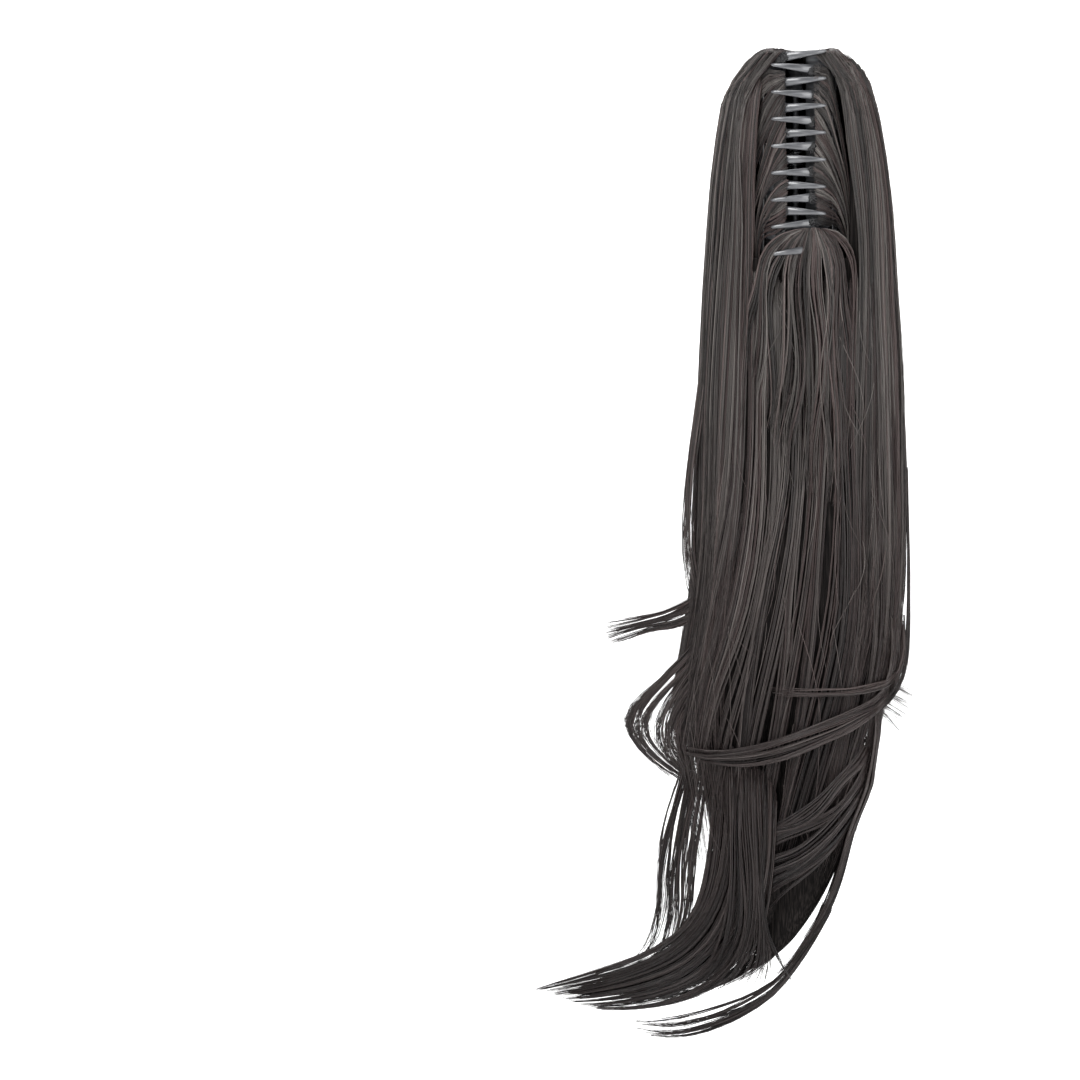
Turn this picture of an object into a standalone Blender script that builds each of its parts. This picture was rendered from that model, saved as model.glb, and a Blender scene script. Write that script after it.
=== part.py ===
"""Ponytail hairpiece on a claw clip, at its real size, in metres.

The clip is two toothed jaws on one hinge pin, closed by a torsion spring. A sewn weft band and a
tuft of hair ride on each jaw. The long hair is an outer curtain, which goes round the clip from
behind and runs down to the tail, and an inner fall in front of it, which starts under the clip.

+Z is up, -Y faces the wearer's head and +Y is the outer side that shows when it is worn. The
origin is the middle of the clip's hollow, where the wearer's own gathered hair sits.
"""

import math

import bmesh
import bpy
import numpy as np
from mathutils import Matrix

# The clip
CLAW_LENGTH = 0.100
WALL = 0.0022
JAW_RADIUS = 0.017
JAW_START_DEG = 17.0
TOOTH_BEND_DEG = 150.0
TOOTH_RADIUS = 0.026
TOOTH_TIP_DEG = 200.0
TOOTH_ROOT_DEG = 112.0
TEETH = 8
TOOTH_PITCH = 0.0118
TOOTH_OFFSET = TOOTH_PITCH / 4
TOOTH_ROOT_WIDTH = 0.0060
TOOTH_MID_WIDTH = 0.0042
TOOTH_TIP_WIDTH = 0.0018
TOOTH_FAN = 0.12

# The hinge
PIN_Y = 0.018
PIN_RADIUS = 0.0015
PIN_HEAD_RADIUS = 0.0026
PIN_HEAD = 0.0011
EAR_RADIUS = 0.0036
EAR_BORE = 0.00165
EAR_LENGTH = 0.0060
WEB_THICKNESS = 0.0036
WEB_LAND_DEG = 21.0
WEB_MIDDLE = 0.55
WEB_INSET = 0.0001
OUTER_EAR_Z = 0.041
EAR_GAP = 0.0006
ROUND_SIDES = 16

# The finger tabs, which stand 46 degrees out from the jaws' line when the clip is closed
TAB_ANGLE_DEG = 46.0
TAB_OFFSET = 0.0052
TAB_LENGTH = 0.022
TAB_WIDTH = 0.044
TAB_ROUNDING = 0.0009
TAB_ROOT = 0.0028

# The spring
SPRING_WIRE = 0.0009
SPRING_RADIUS = 0.0030
SPRING_TURNS = 5
SPRING_PITCH = 0.0022
SPRING_LEG = 0.012
POINTS_A_TURN = 10

# The hair on the jaws
SEAT_GAP = 0.0003
WEFT_THICKNESS = 0.0015
WEFT_START_DEG = 36.0
WEFT_END_DEG = 122.0
WEFT_LENGTH = 0.097
TUFT_RADIUS = 0.0337
TUFT_FRONT_DEG = -60.0
TUFT_BACK_DEG = -10.0
TUFT_TOP = 0.0505
TUFT_BOTTOM = -0.0515

# The room that the jaws and their tufts swing in, as radii round the pin
SWING_RADIUS = 0.0340
TEETH_SWING_RADIUS = 0.0384
TEETH_SWING_DEG = -36.0
TONGUE_DEG = 34.0
HINGE_ROOM = 0.0075
TAB_ROOM_RADIUS = 0.0275
TAB_ROOM_LENGTH = 0.049
SWING_BOTTOM = -0.0520
ARC_STEP_DEG = 8.0

# The hair's cross-sections
SECTION_POINTS = 30
SECTION_SQUARENESS = 2.5
RIBS = 9
RIB_DEPTH = 0.022
RIB_DRIFT = 14.0
LOCK_POINTS = 10
ABOVE_EVERYTHING = 0.080

# The outer form of the hair: two lobes side by side, a row for each height
ENVELOPE_COLUMNS = ("z", "left_outer", "left_inner", "right_inner", "right_outer", "front", "back")
ENVELOPE = (
    (0.0530, -0.0170, -0.0050, 0.0100, 0.0220, 0.0100, 0.0360),
    (0.0500, -0.0225, 0.0010, 0.0050, 0.0265, -0.0010, 0.0460),
    (0.0440, -0.0270, 0.0060, 0.0010, 0.0290, -0.0080, 0.0510),
    (0.0340, -0.0325, 0.0100, -0.0030, 0.0340, -0.0120, 0.0530),
    (0.0245, -0.0360, 0.0120, -0.0060, 0.0375, -0.0135, 0.0540),
    (0.0050, -0.0390, 0.0140, -0.0080, 0.0425, -0.0140, 0.0545),
    (-0.0150, -0.0412, 0.0140, -0.0080, 0.0456, -0.0140, 0.0545),
    (-0.0340, -0.0426, 0.0140, -0.0080, 0.0475, -0.0140, 0.0540),
    (-0.0540, -0.0440, 0.0140, -0.0080, 0.0485, -0.0140, 0.0530),
    (-0.0735, -0.0446, 0.0140, -0.0080, 0.0495, -0.0140, 0.0505),
    (-0.1130, -0.0466, 0.0140, -0.0080, 0.0519, -0.0130, 0.0450),
    (-0.1520, -0.0475, 0.0130, -0.0090, 0.0519, -0.0120, 0.0400),
    (-0.1810, -0.0480, 0.0120, -0.0100, 0.0529, -0.0110, 0.0370),
    (-0.2150, -0.0500, 0.0100, -0.0120, 0.0515, -0.0100, 0.0345),
    (-0.2450, -0.0560, 0.0060, -0.0160, 0.0495, -0.0100, 0.0325),
    (-0.2650, -0.0600, 0.0030, -0.0190, 0.0430, -0.0100, 0.0310),
    (-0.2800, -0.0600, 0.0000, -0.0210, 0.0392, -0.0100, 0.0295),
    (-0.2990, -0.0550, -0.0020, -0.0230, 0.0353, -0.0090, 0.0275),
    (-0.3180, -0.0505, -0.0030, -0.0240, 0.0310, -0.0080, 0.0255),
    (-0.3380, -0.0490, -0.0060, -0.0260, 0.0216, -0.0060, 0.0235),
    (-0.3580, -0.0460, -0.0120, -0.0280, 0.0140, -0.0040, 0.0210),
    (-0.3720, -0.0400, -0.0200, -0.0240, 0.0020, 0.0020, 0.0150),
)

# Where the inner fall ends and the curtain begins behind it, as (y, z)
SPLIT_LINE = (
    (-0.060, -0.0525),
    (0.016, -0.0525),
    (0.011, -0.2000),
    (0.006, -0.2700),
    (-0.012, -0.3450),
    (-0.060, -0.3600),
)
SPLIT_REACH = 0.300

# The locks, as rows of x, y, z, half width, half thickness and facing, which is the way that the
# flat side looks: -90 degrees is to the head, 90 away from it
CURTAIN_LOCKS = {
    "tail": (
        (-0.008, 0.010, -0.270, 0.030, 0.0120, -90),
        (-0.014, 0.010, -0.320, 0.034, 0.0120, -90),
        (-0.022, 0.009, -0.355, 0.032, 0.0110, -90),
        (-0.038, 0.009, -0.385, 0.028, 0.0100, -90),
        (-0.066, 0.008, -0.402, 0.017, 0.0080, -90),
        (-0.098, 0.008, -0.411, 0.009, 0.0050, -90),
        (-0.127, 0.008, -0.409, 0.001, 0.0010, -90),
    ),
    "tail_wisp": (
        (-0.012, 0.012, -0.385, 0.008, 0.0050, -90),
        (-0.024, 0.012, -0.408, 0.007, 0.0045, -90),
        (-0.042, 0.011, -0.422, 0.005, 0.0035, -90),
        (-0.062, 0.010, -0.430, 0.003, 0.0025, -90),
        (-0.080, 0.010, -0.431, 0.001, 0.0010, -90),
    ),
    "flick": (
        (-0.030, 0.026, -0.175, 0.013, 0.0070, -90),
        (-0.044, 0.025, -0.206, 0.013, 0.0065, -90),
        (-0.060, 0.024, -0.222, 0.009, 0.0055, -90),
        (-0.077, 0.023, -0.230, 0.005, 0.0040, -90),
        (-0.093, 0.022, -0.235, 0.001, 0.0010, -90),
    ),
    "curl": (
        (-0.046, 0.022, -0.208, 0.012, 0.0060, -90),
        (-0.062, 0.022, -0.240, 0.013, 0.0060, -90),
        (-0.070, 0.021, -0.268, 0.012, 0.0055, -90),
        (-0.065, 0.020, -0.290, 0.009, 0.0050, -90),
        (-0.050, 0.019, -0.303, 0.003, 0.0020, -90),
    ),
    "left_wisp": (
        (-0.040, 0.020, -0.285, 0.008, 0.0050, -90),
        (-0.053, 0.019, -0.318, 0.007, 0.0045, -90),
        (-0.060, 0.018, -0.350, 0.006, 0.0040, -90),
        (-0.066, 0.017, -0.374, 0.004, 0.0030, -90),
        (-0.076, 0.016, -0.390, 0.001, 0.0010, -90),
    ),
    "back_sweep": (
        (-0.036, 0.030, -0.180, 0.014, 0.0060, 100),
        (-0.022, 0.035, -0.215, 0.015, 0.0065, 95),
        (0.006, 0.034, -0.240, 0.013, 0.0065, 85),
        (0.030, 0.029, -0.256, 0.009, 0.0050, 70),
        (0.043, 0.022, -0.266, 0.002, 0.0020, 50),
    ),
    "back_curl": (
        (-0.050, 0.024, -0.250, 0.010, 0.0055, 110),
        (-0.034, 0.029, -0.279, 0.011, 0.0060, 100),
        (-0.010, 0.029, -0.296, 0.009, 0.0055, 90),
        (0.014, 0.026, -0.304, 0.006, 0.0040, 80),
        (0.030, 0.022, -0.305, 0.001, 0.0010, 70),
    ),
}
FALL_LOCKS = {
    "sweep_band": (
        (0.040, -0.003, -0.235, 0.007, 0.0050, -60),
        (0.035, -0.008, -0.258, 0.009, 0.0055, -75),
        (0.016, -0.011, -0.277, 0.009, 0.0055, -90),
        (-0.012, -0.012, -0.291, 0.007, 0.0050, -90),
        (-0.036, -0.011, -0.297, 0.004, 0.0040, -95),
        (-0.052, -0.008, -0.297, 0.001, 0.0010, -100),
    ),
    "side_sweep": (
        (0.028, -0.003, -0.262, 0.012, 0.0060, -80),
        (0.024, -0.006, -0.292, 0.014, 0.0065, -85),
        (0.008, -0.008, -0.322, 0.012, 0.0060, -90),
        (-0.010, -0.008, -0.345, 0.006, 0.0045, -90),
        (-0.024, -0.007, -0.360, 0.001, 0.0010, -90),
    ),
}

COLOURS = {
    "hair": (0.030, 0.024, 0.023, 0.42, 0.0),
    "claw": (0.012, 0.012, 0.014, 0.22, 0.0),
    "steel": (0.550, 0.550, 0.560, 0.30, 1.0),
    "weft": (0.010, 0.009, 0.009, 0.80, 0.0),
}


def clear_scene():
    """Removes every object that the scene starts with."""
    for obj in list(bpy.data.objects):
        bpy.data.objects.remove(obj, do_unlink=True)


def new_collection(name):
    """A collection of that name under the scene's own."""
    made = bpy.data.collections.new(name)
    bpy.context.scene.collection.children.link(made)
    return made


def material(name):
    """A Principled material from the table of colours."""
    red, green, blue, roughness, metallic = COLOURS[name]
    made = bpy.data.materials.new(name)
    made.use_nodes = True
    shader = made.node_tree.nodes["Principled BSDF"]
    shader.inputs["Base Color"].default_value = (red, green, blue, 1.0)
    shader.inputs["Roughness"].default_value = roughness
    shader.inputs["Metallic"].default_value = metallic
    return made


def link_mesh(name, mesh):
    """A new object that holds the mesh."""
    obj = bpy.data.objects.new(name, mesh)
    WORKSHOP.objects.link(obj)
    return obj


def loft(name, rings):
    """A closed solid through rings of points, all of one length, with a flat cap at each end."""
    count = len(rings[0])
    faces = []
    for row in range(len(rings) - 1):
        here, there = row * count, (row + 1) * count
        for i in range(count):
            j = (i + 1) % count
            faces.append((here + i, here + j, there + j, there + i))
    last = (len(rings) - 1) * count
    faces.append(tuple(reversed(range(count))))
    faces.append(tuple(range(last, last + count)))
    mesh = bpy.data.meshes.new(name)
    mesh.from_pydata([tuple(p) for ring in rings for p in ring], [], faces)
    outward(mesh)
    return link_mesh(name, mesh)


def outward(mesh, weld=0.0):
    """Turns the mesh's faces outwards, after welding points that lie closer than the weld."""
    bm = bmesh.new()
    bm.from_mesh(mesh)
    if weld:
        bmesh.ops.remove_doubles(bm, verts=bm.verts, dist=weld)
    bmesh.ops.recalc_face_normals(bm, faces=bm.faces)
    bm.to_mesh(mesh)
    bm.free()


def applied(obj, weld=0.0):
    """The object with its modifiers, or its curve, made into a plain mesh."""
    graph = bpy.context.evaluated_depsgraph_get()
    mesh = bpy.data.meshes.new_from_object(obj.evaluated_get(graph))
    mesh.transform(obj.matrix_world)
    outward(mesh, weld)
    name = obj.name
    bpy.data.objects.remove(obj, do_unlink=True)
    return link_mesh(name, mesh)


def combine(obj, other, operation, keep=False):
    """Joins, cuts or intersects obj with other, and removes other unless it is kept."""
    modifier = obj.modifiers.new(operation.lower(), "BOOLEAN")
    modifier.operation = operation
    modifier.solver = "EXACT"
    modifier.object = other
    bpy.context.view_layer.update()
    made = applied(obj)
    if not keep:
        bpy.data.objects.remove(other, do_unlink=True)
    return made


def prism(name, outline, low, high):
    """A flat outline in X and Y, extruded from z = low to z = high."""
    curve = bpy.data.curves.new(name, "CURVE")
    curve.dimensions = "2D"
    curve.fill_mode = "BOTH"
    curve.extrude = (high - low) / 2
    spline = curve.splines.new("POLY")
    spline.points.add(len(outline) - 1)
    for point, (x, y) in zip(spline.points, outline):
        point.co = (x, y, 0.0, 1.0)
    spline.use_cyclic_u = True
    obj = bpy.data.objects.new(name, curve)
    WORKSHOP.objects.link(obj)
    obj.location.z = (high + low) / 2
    bpy.context.view_layer.update()
    return applied(obj, weld=1e-6)


def smooth_rows(rows, steps):
    """Rows of a table with steps - 1 new rows between each two, on a Catmull-Rom curve."""
    table = np.array(rows, float)
    padded = np.vstack([2 * table[0] - table[1], table, 2 * table[-1] - table[-2]])
    made = []
    for i in range(1, len(padded) - 2):
        before, start, end, after = padded[i - 1 : i + 3]
        for k in range(steps):
            t = k / steps
            made.append(
                0.5
                * (
                    2 * start
                    + (end - before) * t
                    + (2 * before - 5 * start + 4 * end - after) * t**2
                    + (3 * start - before - 3 * end + after) * t**3
                )
            )
    made.append(table[-1])
    return np.array(made)


def arc(centre, radius, start_deg, end_deg):
    """Points in X and Y on an arc, with 0 degrees along +X, at both ends and every few degrees."""
    steps = max(1, round(abs(end_deg - start_deg) / ARC_STEP_DEG))
    turns = np.radians(np.linspace(start_deg, end_deg, steps + 1))
    return [(centre[0] + radius * math.cos(a), centre[1] + radius * math.sin(a)) for a in turns]


def lobe(name, outer_column, inner_column):
    """One lobe of the hair's outer form: superelliptic sections with ribs that drift as they fall."""
    column = {label: i for i, label in enumerate(ENVELOPE_COLUMNS)}
    turns = np.linspace(0, 2 * math.pi, SECTION_POINTS, endpoint=False)
    power = 2 / SECTION_SQUARENESS
    rings = []
    for row in ENVELOPE:
        left, right = sorted((row[column[outer_column]], row[column[inner_column]]))
        front, back = row[column["front"]], row[column["back"]]
        rib = 1 - RIB_DEPTH * (1 + np.cos(RIBS * turns + RIB_DRIFT * row[0])) / 2
        across = np.sign(np.cos(turns)) * np.abs(np.cos(turns)) ** power * rib
        deep = np.sign(np.sin(turns)) * np.abs(np.sin(turns)) ** power * rib
        x = (left + right) / 2 + (right - left) / 2 * across
        y = (front + back) / 2 + (back - front) / 2 * deep
        rings.append(np.column_stack([x, y, np.full_like(x, row[0])]))
    return loft(name, rings)


def envelope():
    """The whole outer form of the hair, both lobes joined."""
    left = lobe("envelope", "left_outer", "left_inner")
    right = lobe("right_lobe", "right_outer", "right_inner")
    return combine(left, right, "UNION")


def lock(name, rows):
    """A flat tapering lock along a smooth path, with its flat side facing as the table says."""
    path = smooth_rows(rows, 2)
    turns = np.linspace(0, 2 * math.pi, LOCK_POINTS, endpoint=False)
    along = np.gradient(path[:, :3], axis=0)
    along /= np.linalg.norm(along, axis=1)[:, None]
    rings = []
    for row, tangent in zip(path, along):
        x, y, z, half_width, half_thickness, facing_deg = row
        turn = math.radians(facing_deg)
        facing = np.array([math.cos(turn), math.sin(turn), 0.0])
        facing -= tangent * facing.dot(tangent)
        facing /= np.linalg.norm(facing)
        side = np.cross(tangent, facing)
        rings.append(
            np.array([x, y, z])
            + np.outer(np.cos(turns) * half_width, side)
            + np.outer(np.sin(turns) * half_thickness, facing)
        )
    return loft(name, rings)


def inner_region(name, grow):
    """The room of the inner fall, in front of the split line, grown by a gap if it is to cut."""
    outline = [(y + grow, z + (grow if z > SPLIT_LINE[2][1] else -grow)) for y, z in SPLIT_LINE]
    obj = prism(name, outline, -SPLIT_REACH, SPLIT_REACH)
    upright = Matrix(((0, 0, 1, 0), (1, 0, 0, 0), (0, 1, 0, 0), (0, 0, 0, 1)))
    obj.data.transform(upright)
    outward(obj.data)
    return obj


def swing_room():
    """What is cut from the curtain so that the jaws, their tufts and the tabs can turn."""
    pin = (0.0, PIN_Y)
    right = arc(pin, SWING_RADIUS, TONGUE_DEG, TEETH_SWING_DEG)
    right += arc(pin, TEETH_SWING_RADIUS, TEETH_SWING_DEG, -90)
    outline = right + [(-x, y) for x, y in reversed(right[:-1])] + [pin]
    room = prism("swing_room", outline, SWING_BOTTOM, ABOVE_EVERYTHING)
    hinge = prism("hinge_room", arc(pin, HINGE_ROOM, 0, 352), SWING_BOTTOM, ABOVE_EVERYTHING)
    tabs = prism(
        "tab_room",
        arc(pin, TAB_ROOM_RADIUS, 0, 352),
        -TAB_ROOM_LENGTH / 2,
        TAB_ROOM_LENGTH / 2,
    )
    room = combine(room, hinge, "UNION")
    return combine(room, tabs, "UNION")


def outer_curtain(form):
    """The curtain: the outer form behind the split line, round the swing room, with its locks."""
    curtain = link_mesh("outer_curtain", form.data.copy())
    for name, rows in CURTAIN_LOCKS.items():
        curtain = combine(curtain, lock(name, rows), "UNION")
    curtain = combine(curtain, inner_region("split", SEAT_GAP), "DIFFERENCE")
    return combine(curtain, swing_room(), "DIFFERENCE")


def inner_fall(form):
    """The fall: the outer form in front of the split line, under the clip, with its locks."""
    fall = link_mesh("inner_fall", form.data.copy())
    for name, rows in FALL_LOCKS.items():
        fall = combine(fall, lock(name, rows), "UNION")
    return combine(fall, inner_region("front", 0.0), "INTERSECT")


def tuft(form, name):
    """The hair sewn on the right jaw: the outer form's part between two radii round the pin."""
    pin = (0.0, PIN_Y)
    base = JAW_RADIUS + WALL / 2 + 2 * SEAT_GAP + WEFT_THICKNESS
    outline = arc(pin, TUFT_RADIUS, TUFT_FRONT_DEG, TUFT_BACK_DEG) + [pin]
    room = prism("tuft_room", outline, TUFT_BOTTOM, TUFT_TOP)
    hollow = prism("tuft_hollow", arc((0.0, 0.0), base, 0, 352), -CLAW_LENGTH, CLAW_LENGTH)
    made = combine(link_mesh(name, form.data.copy()), room, "INTERSECT")
    return combine(made, hollow, "DIFFERENCE")


def jaw_profile():
    """The jaw's middle line in X and Y, from the hinge round to the tooth's tip, with its angles.

    The wall is an arc round the hollow. Past the bend a tooth goes on along a flatter arc that
    starts in the same direction, so that the tips lie in front of the other jaw. Angles are
    turned from +Y, clockwise as seen from above.
    """
    wall = np.linspace(JAW_START_DEG, TOOTH_ROOT_DEG, 6)
    root = np.linspace(TOOTH_ROOT_DEG, TOOTH_BEND_DEG, 4)[1:]
    tip = np.linspace(TOOTH_BEND_DEG, TOOTH_TIP_DEG, 6)[1:]
    angles = np.concatenate([wall, root, tip])
    bend = math.radians(TOOTH_BEND_DEG)
    shift = (JAW_RADIUS - TOOTH_RADIUS) * np.array([math.sin(bend), math.cos(bend)])
    on_tooth = angles > TOOTH_BEND_DEG
    radius = np.where(on_tooth, TOOTH_RADIUS, JAW_RADIUS)
    points = radius[:, None] * np.column_stack([np.sin(np.radians(angles)), np.cos(np.radians(angles))])
    return points + np.where(on_tooth[:, None], shift, 0.0), angles


def tooth_width(angle_deg):
    """A tooth's width where the profile's angle is this: root, then middle, then tip."""
    stops = (TOOTH_ROOT_DEG, TOOTH_BEND_DEG, TOOTH_TIP_DEG)
    return np.interp(angle_deg, stops, (TOOTH_ROOT_WIDTH, TOOTH_MID_WIDTH, TOOTH_TIP_WIDTH))


def comb(name, offset):
    """The jaw's wall with its teeth: an open sheet whose gaps between teeth are left out."""
    points, angles = jaw_profile()
    centres = offset + TOOTH_PITCH * (np.arange(TEETH) - (TEETH - 1) / 2)
    low, high = -CLAW_LENGTH / 2, CLAW_LENGTH / 2
    reach = np.clip((angles - TOOTH_ROOT_DEG) / (TOOTH_TIP_DEG - TOOTH_ROOT_DEG), 0, 1)
    vertices, faces = [], []
    columns = 2 * TEETH + 2
    for (x, y), angle, share in zip(points, angles, reach):
        width = tooth_width(angle)
        middle = centres * (1 + TOOTH_FAN * share)
        edges = np.sort(np.concatenate([middle - width / 2, middle + width / 2]))
        vertices += [(x, y, z) for z in (low, *edges, high)]
    first_tooth_row = int(np.argmax(angles >= TOOTH_ROOT_DEG))
    for row in range(len(angles) - 1):
        for k in range(columns - 1):
            is_tooth = k % 2 == 1
            if row < first_tooth_row or is_tooth:
                a = row * columns + k
                faces.append((a, a + 1, a + 1 + columns, a + columns))
    mesh = bpy.data.meshes.new(name)
    mesh.from_pydata(vertices, [], faces)
    bm = bmesh.new()
    bm.from_mesh(mesh)
    bmesh.ops.delete(bm, geom=[v for v in bm.verts if not v.link_faces], context="VERTS")
    bm.to_mesh(mesh)
    bm.free()
    obj = link_mesh(name, mesh)
    solidify = obj.modifiers.new("wall", "SOLIDIFY")
    solidify.thickness = WALL
    solidify.offset = 0.0
    solidify.use_even_offset = True
    bpy.context.view_layer.update()
    return applied(obj)


def cylinder(name, radius, low, high):
    """A round solid on the pin's axis."""
    bpy.ops.mesh.primitive_cylinder_add(
        vertices=ROUND_SIDES,
        radius=radius,
        depth=high - low,
        location=(0.0, PIN_Y, (high + low) / 2),
    )
    obj = bpy.context.object
    obj.name = name
    return applied(obj)


def block(name, size, centre, turn_deg, rounding=0.0):
    """A box of that size, turned about +Z, with its edges rounded."""
    bpy.ops.mesh.primitive_cube_add(size=1.0)
    obj = bpy.context.object
    obj.name = name
    obj.data.transform(Matrix.Diagonal((*size, 1.0)))
    obj.data.transform(Matrix.Rotation(math.radians(turn_deg), 4, "Z"))
    obj.data.transform(Matrix.Translation(centre))
    if rounding:
        bevel = obj.modifiers.new("rounding", "BEVEL")
        bevel.width = rounding
        bevel.segments = 2
    bpy.context.view_layer.update()
    return applied(obj)


def right_jaw(name, offset, ear_centre):
    """One jaw on the +X side: wall and teeth, finger tab and two ears bored for the pin."""
    jaw = comb(name, offset)
    turn = math.radians(TAB_ANGLE_DEG)
    along = np.array([math.cos(turn), math.sin(turn)])
    out = np.array([math.sin(turn), -math.cos(turn)])
    pin = np.array([0.0, PIN_Y])
    middle = pin + along * (TAB_LENGTH + TAB_ROOT) / 2 + out * TAB_OFFSET
    tab = block(
        "tab",
        (TAB_LENGTH - TAB_ROOT, WALL, TAB_WIDTH),
        (*middle, 0.0),
        TAB_ANGLE_DEG,
        TAB_ROUNDING,
    )
    jaw = combine(jaw, tab, "UNION")
    land = math.radians(WEB_LAND_DEG)
    wall = np.array([JAW_RADIUS * math.sin(land), JAW_RADIUS * math.cos(land)])
    web_middle = pin + (wall - pin) * WEB_MIDDLE
    web_turn = math.degrees(math.atan2(*(wall - pin)[::-1]))
    web_size = (float(np.linalg.norm(wall - pin)), WEB_THICKNESS, EAR_LENGTH - WEB_INSET)
    for side in (-1, 1):
        low, high = sorted((side * (ear_centre - EAR_LENGTH / 2), side * (ear_centre + EAR_LENGTH / 2)))
        ear = cylinder("ear", EAR_RADIUS, low, high)
        web = block("web", web_size, (*web_middle, (low + high) / 2), web_turn)
        ear = combine(ear, web, "UNION")
        jaw = combine(jaw, ear, "UNION")
        bore = cylinder("bore", EAR_BORE, low - WALL, high + WALL)
        jaw = combine(jaw, bore, "DIFFERENCE")
    return jaw


def weft_band(name):
    """The sewn band round the outside of the right jaw's wall."""
    inner = JAW_RADIUS + WALL / 2 + SEAT_GAP
    start, end = 90 - WEFT_START_DEG, 90 - WEFT_END_DEG
    outline = arc((0.0, 0.0), inner, start, end)
    outline += arc((0.0, 0.0), inner + WEFT_THICKNESS, end, start)
    return prism(name, outline, -WEFT_LENGTH / 2, WEFT_LENGTH / 2)


def mirrored(obj):
    """The object turned into its mirror image in the plane x = 0."""
    obj.data.transform(Matrix.Diagonal((-1.0, 1.0, 1.0, 1.0)))
    outward(obj.data)
    return obj


def hinge_pin():
    """A turned pin with a head at each end, past the outer ears."""
    end = OUTER_EAR_Z + EAR_LENGTH / 2 + EAR_GAP
    profile = (
        (0.0, end + PIN_HEAD),
        (PIN_HEAD_RADIUS, end + PIN_HEAD),
        (PIN_HEAD_RADIUS, end),
        (PIN_RADIUS, end),
        (PIN_RADIUS, -end),
        (PIN_HEAD_RADIUS, -end),
        (PIN_HEAD_RADIUS, -end - PIN_HEAD),
        (0.0, -end - PIN_HEAD),
    )
    mesh = bpy.data.meshes.new("hinge_pin")
    edges = [(i, i + 1) for i in range(len(profile) - 1)]
    mesh.from_pydata([(radius, 0.0, z) for radius, z in profile], edges, [])
    obj = link_mesh("hinge_pin", mesh)
    screw = obj.modifiers.new("turning", "SCREW")
    screw.steps = screw.render_steps = ROUND_SIDES
    screw.use_merge_vertices = True
    screw.merge_threshold = 0.00001
    obj.location.y = PIN_Y
    bpy.context.view_layer.update()
    return applied(obj)


def spring():
    """A torsion spring round the pin, with a straight leg towards each finger tab."""
    turn = math.radians(TAB_ANGLE_DEG)
    start = turn - math.pi / 2
    sweep = 2 * math.pi * SPRING_TURNS + (math.pi - 2 * turn) + math.pi
    count = round(POINTS_A_TURN * sweep / (2 * math.pi))
    turns = start + sweep * np.linspace(0, 1, count + 1)
    heights = SPRING_PITCH * SPRING_TURNS * (np.linspace(0, 1, count + 1) - 0.5)
    coil = [
        (SPRING_RADIUS * math.cos(a), PIN_Y + SPRING_RADIUS * math.sin(a), z)
        for a, z in zip(turns, heights)
    ]
    first, last = np.array(coil[0]), np.array(coil[-1])
    right_leg = first + SPRING_LEG * np.array([math.cos(turn), math.sin(turn), 0.0])
    left_leg = last + SPRING_LEG * np.array([-math.cos(turn), math.sin(turn), 0.0])
    points = [tuple(right_leg), *coil, tuple(left_leg)]
    curve = bpy.data.curves.new("claw_spring", "CURVE")
    curve.dimensions = "3D"
    curve.bevel_depth = SPRING_WIRE / 2
    curve.bevel_resolution = 1
    curve.use_fill_caps = True
    spline = curve.splines.new("POLY")
    spline.points.add(len(points) - 1)
    for point, place in zip(spline.points, points):
        point.co = (*place, 1.0)
    obj = bpy.data.objects.new("claw_spring", curve)
    WORKSHOP.objects.link(obj)
    bpy.context.view_layer.update()
    return applied(obj, weld=1e-6)


def finish(obj, finish_material, parent=None):
    """Moves a finished solid to the part's collection, dresses it and hangs it on its pivot."""
    WORKSHOP.objects.unlink(obj)
    HAIRPIECE.objects.link(obj)
    obj.data.materials.clear()
    obj.data.materials.append(finish_material)
    obj.data.shade_smooth()
    obj.data.set_sharp_from_angle(angle=math.radians(40))
    if parent:
        obj.data.transform(Matrix.Translation(-parent.location))
        obj.parent = parent
    return obj


def pivot(name):
    """An empty on the pin's axis, which a jaw and what is sewn to it hang on."""
    empty = bpy.data.objects.new(name, None)
    empty.location = (0.0, PIN_Y, 0.0)
    HAIRPIECE.objects.link(empty)
    return empty


def build():
    """Makes every sub-part and puts it in the part's collection."""
    hair, claw = material("hair"), material("claw")
    steel, weft = material("steel"), material("weft")
    form = envelope()
    right_pivot, left_pivot = pivot("right_pivot"), pivot("left_pivot")
    inner_ear_z = OUTER_EAR_Z - EAR_LENGTH - EAR_GAP
    finish(hinge_pin(), steel)
    finish(spring(), steel)
    finish(right_jaw("right_jaw", -TOOTH_OFFSET, OUTER_EAR_Z), claw, right_pivot)
    finish(mirrored(right_jaw("left_jaw", TOOTH_OFFSET, inner_ear_z)), claw, left_pivot)
    finish(weft_band("right_weft"), weft, right_pivot)
    finish(mirrored(weft_band("left_weft")), weft, left_pivot)
    finish(tuft(form, "right_tuft"), hair, right_pivot)
    finish(mirrored(tuft(mirrored(form), "left_tuft")), hair, left_pivot)
    mirrored(form)
    finish(outer_curtain(form), hair)
    finish(inner_fall(form), hair)
    bpy.data.objects.remove(form, do_unlink=True)


clear_scene()
HAIRPIECE = new_collection("ponytail_hairpiece")
WORKSHOP = new_collection("workshop")
build()
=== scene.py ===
"""The looks of the ponytail hairpiece: its strands, its claw clip and a plain white studio.

The hair is modelled strand by strand. A layer of hair is a smooth sheet between a few guide
curves, or the outer form of the hair itself, and its strands are carried along that sheet in
clumps. Dark cores under the strands fill the body of the hair. Lengths are in millimetres, and
every mesh is scaled to metres when it is made.
"""

import logging
import math
from dataclasses import dataclass, field
from enum import Enum
from typing import Any

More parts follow.
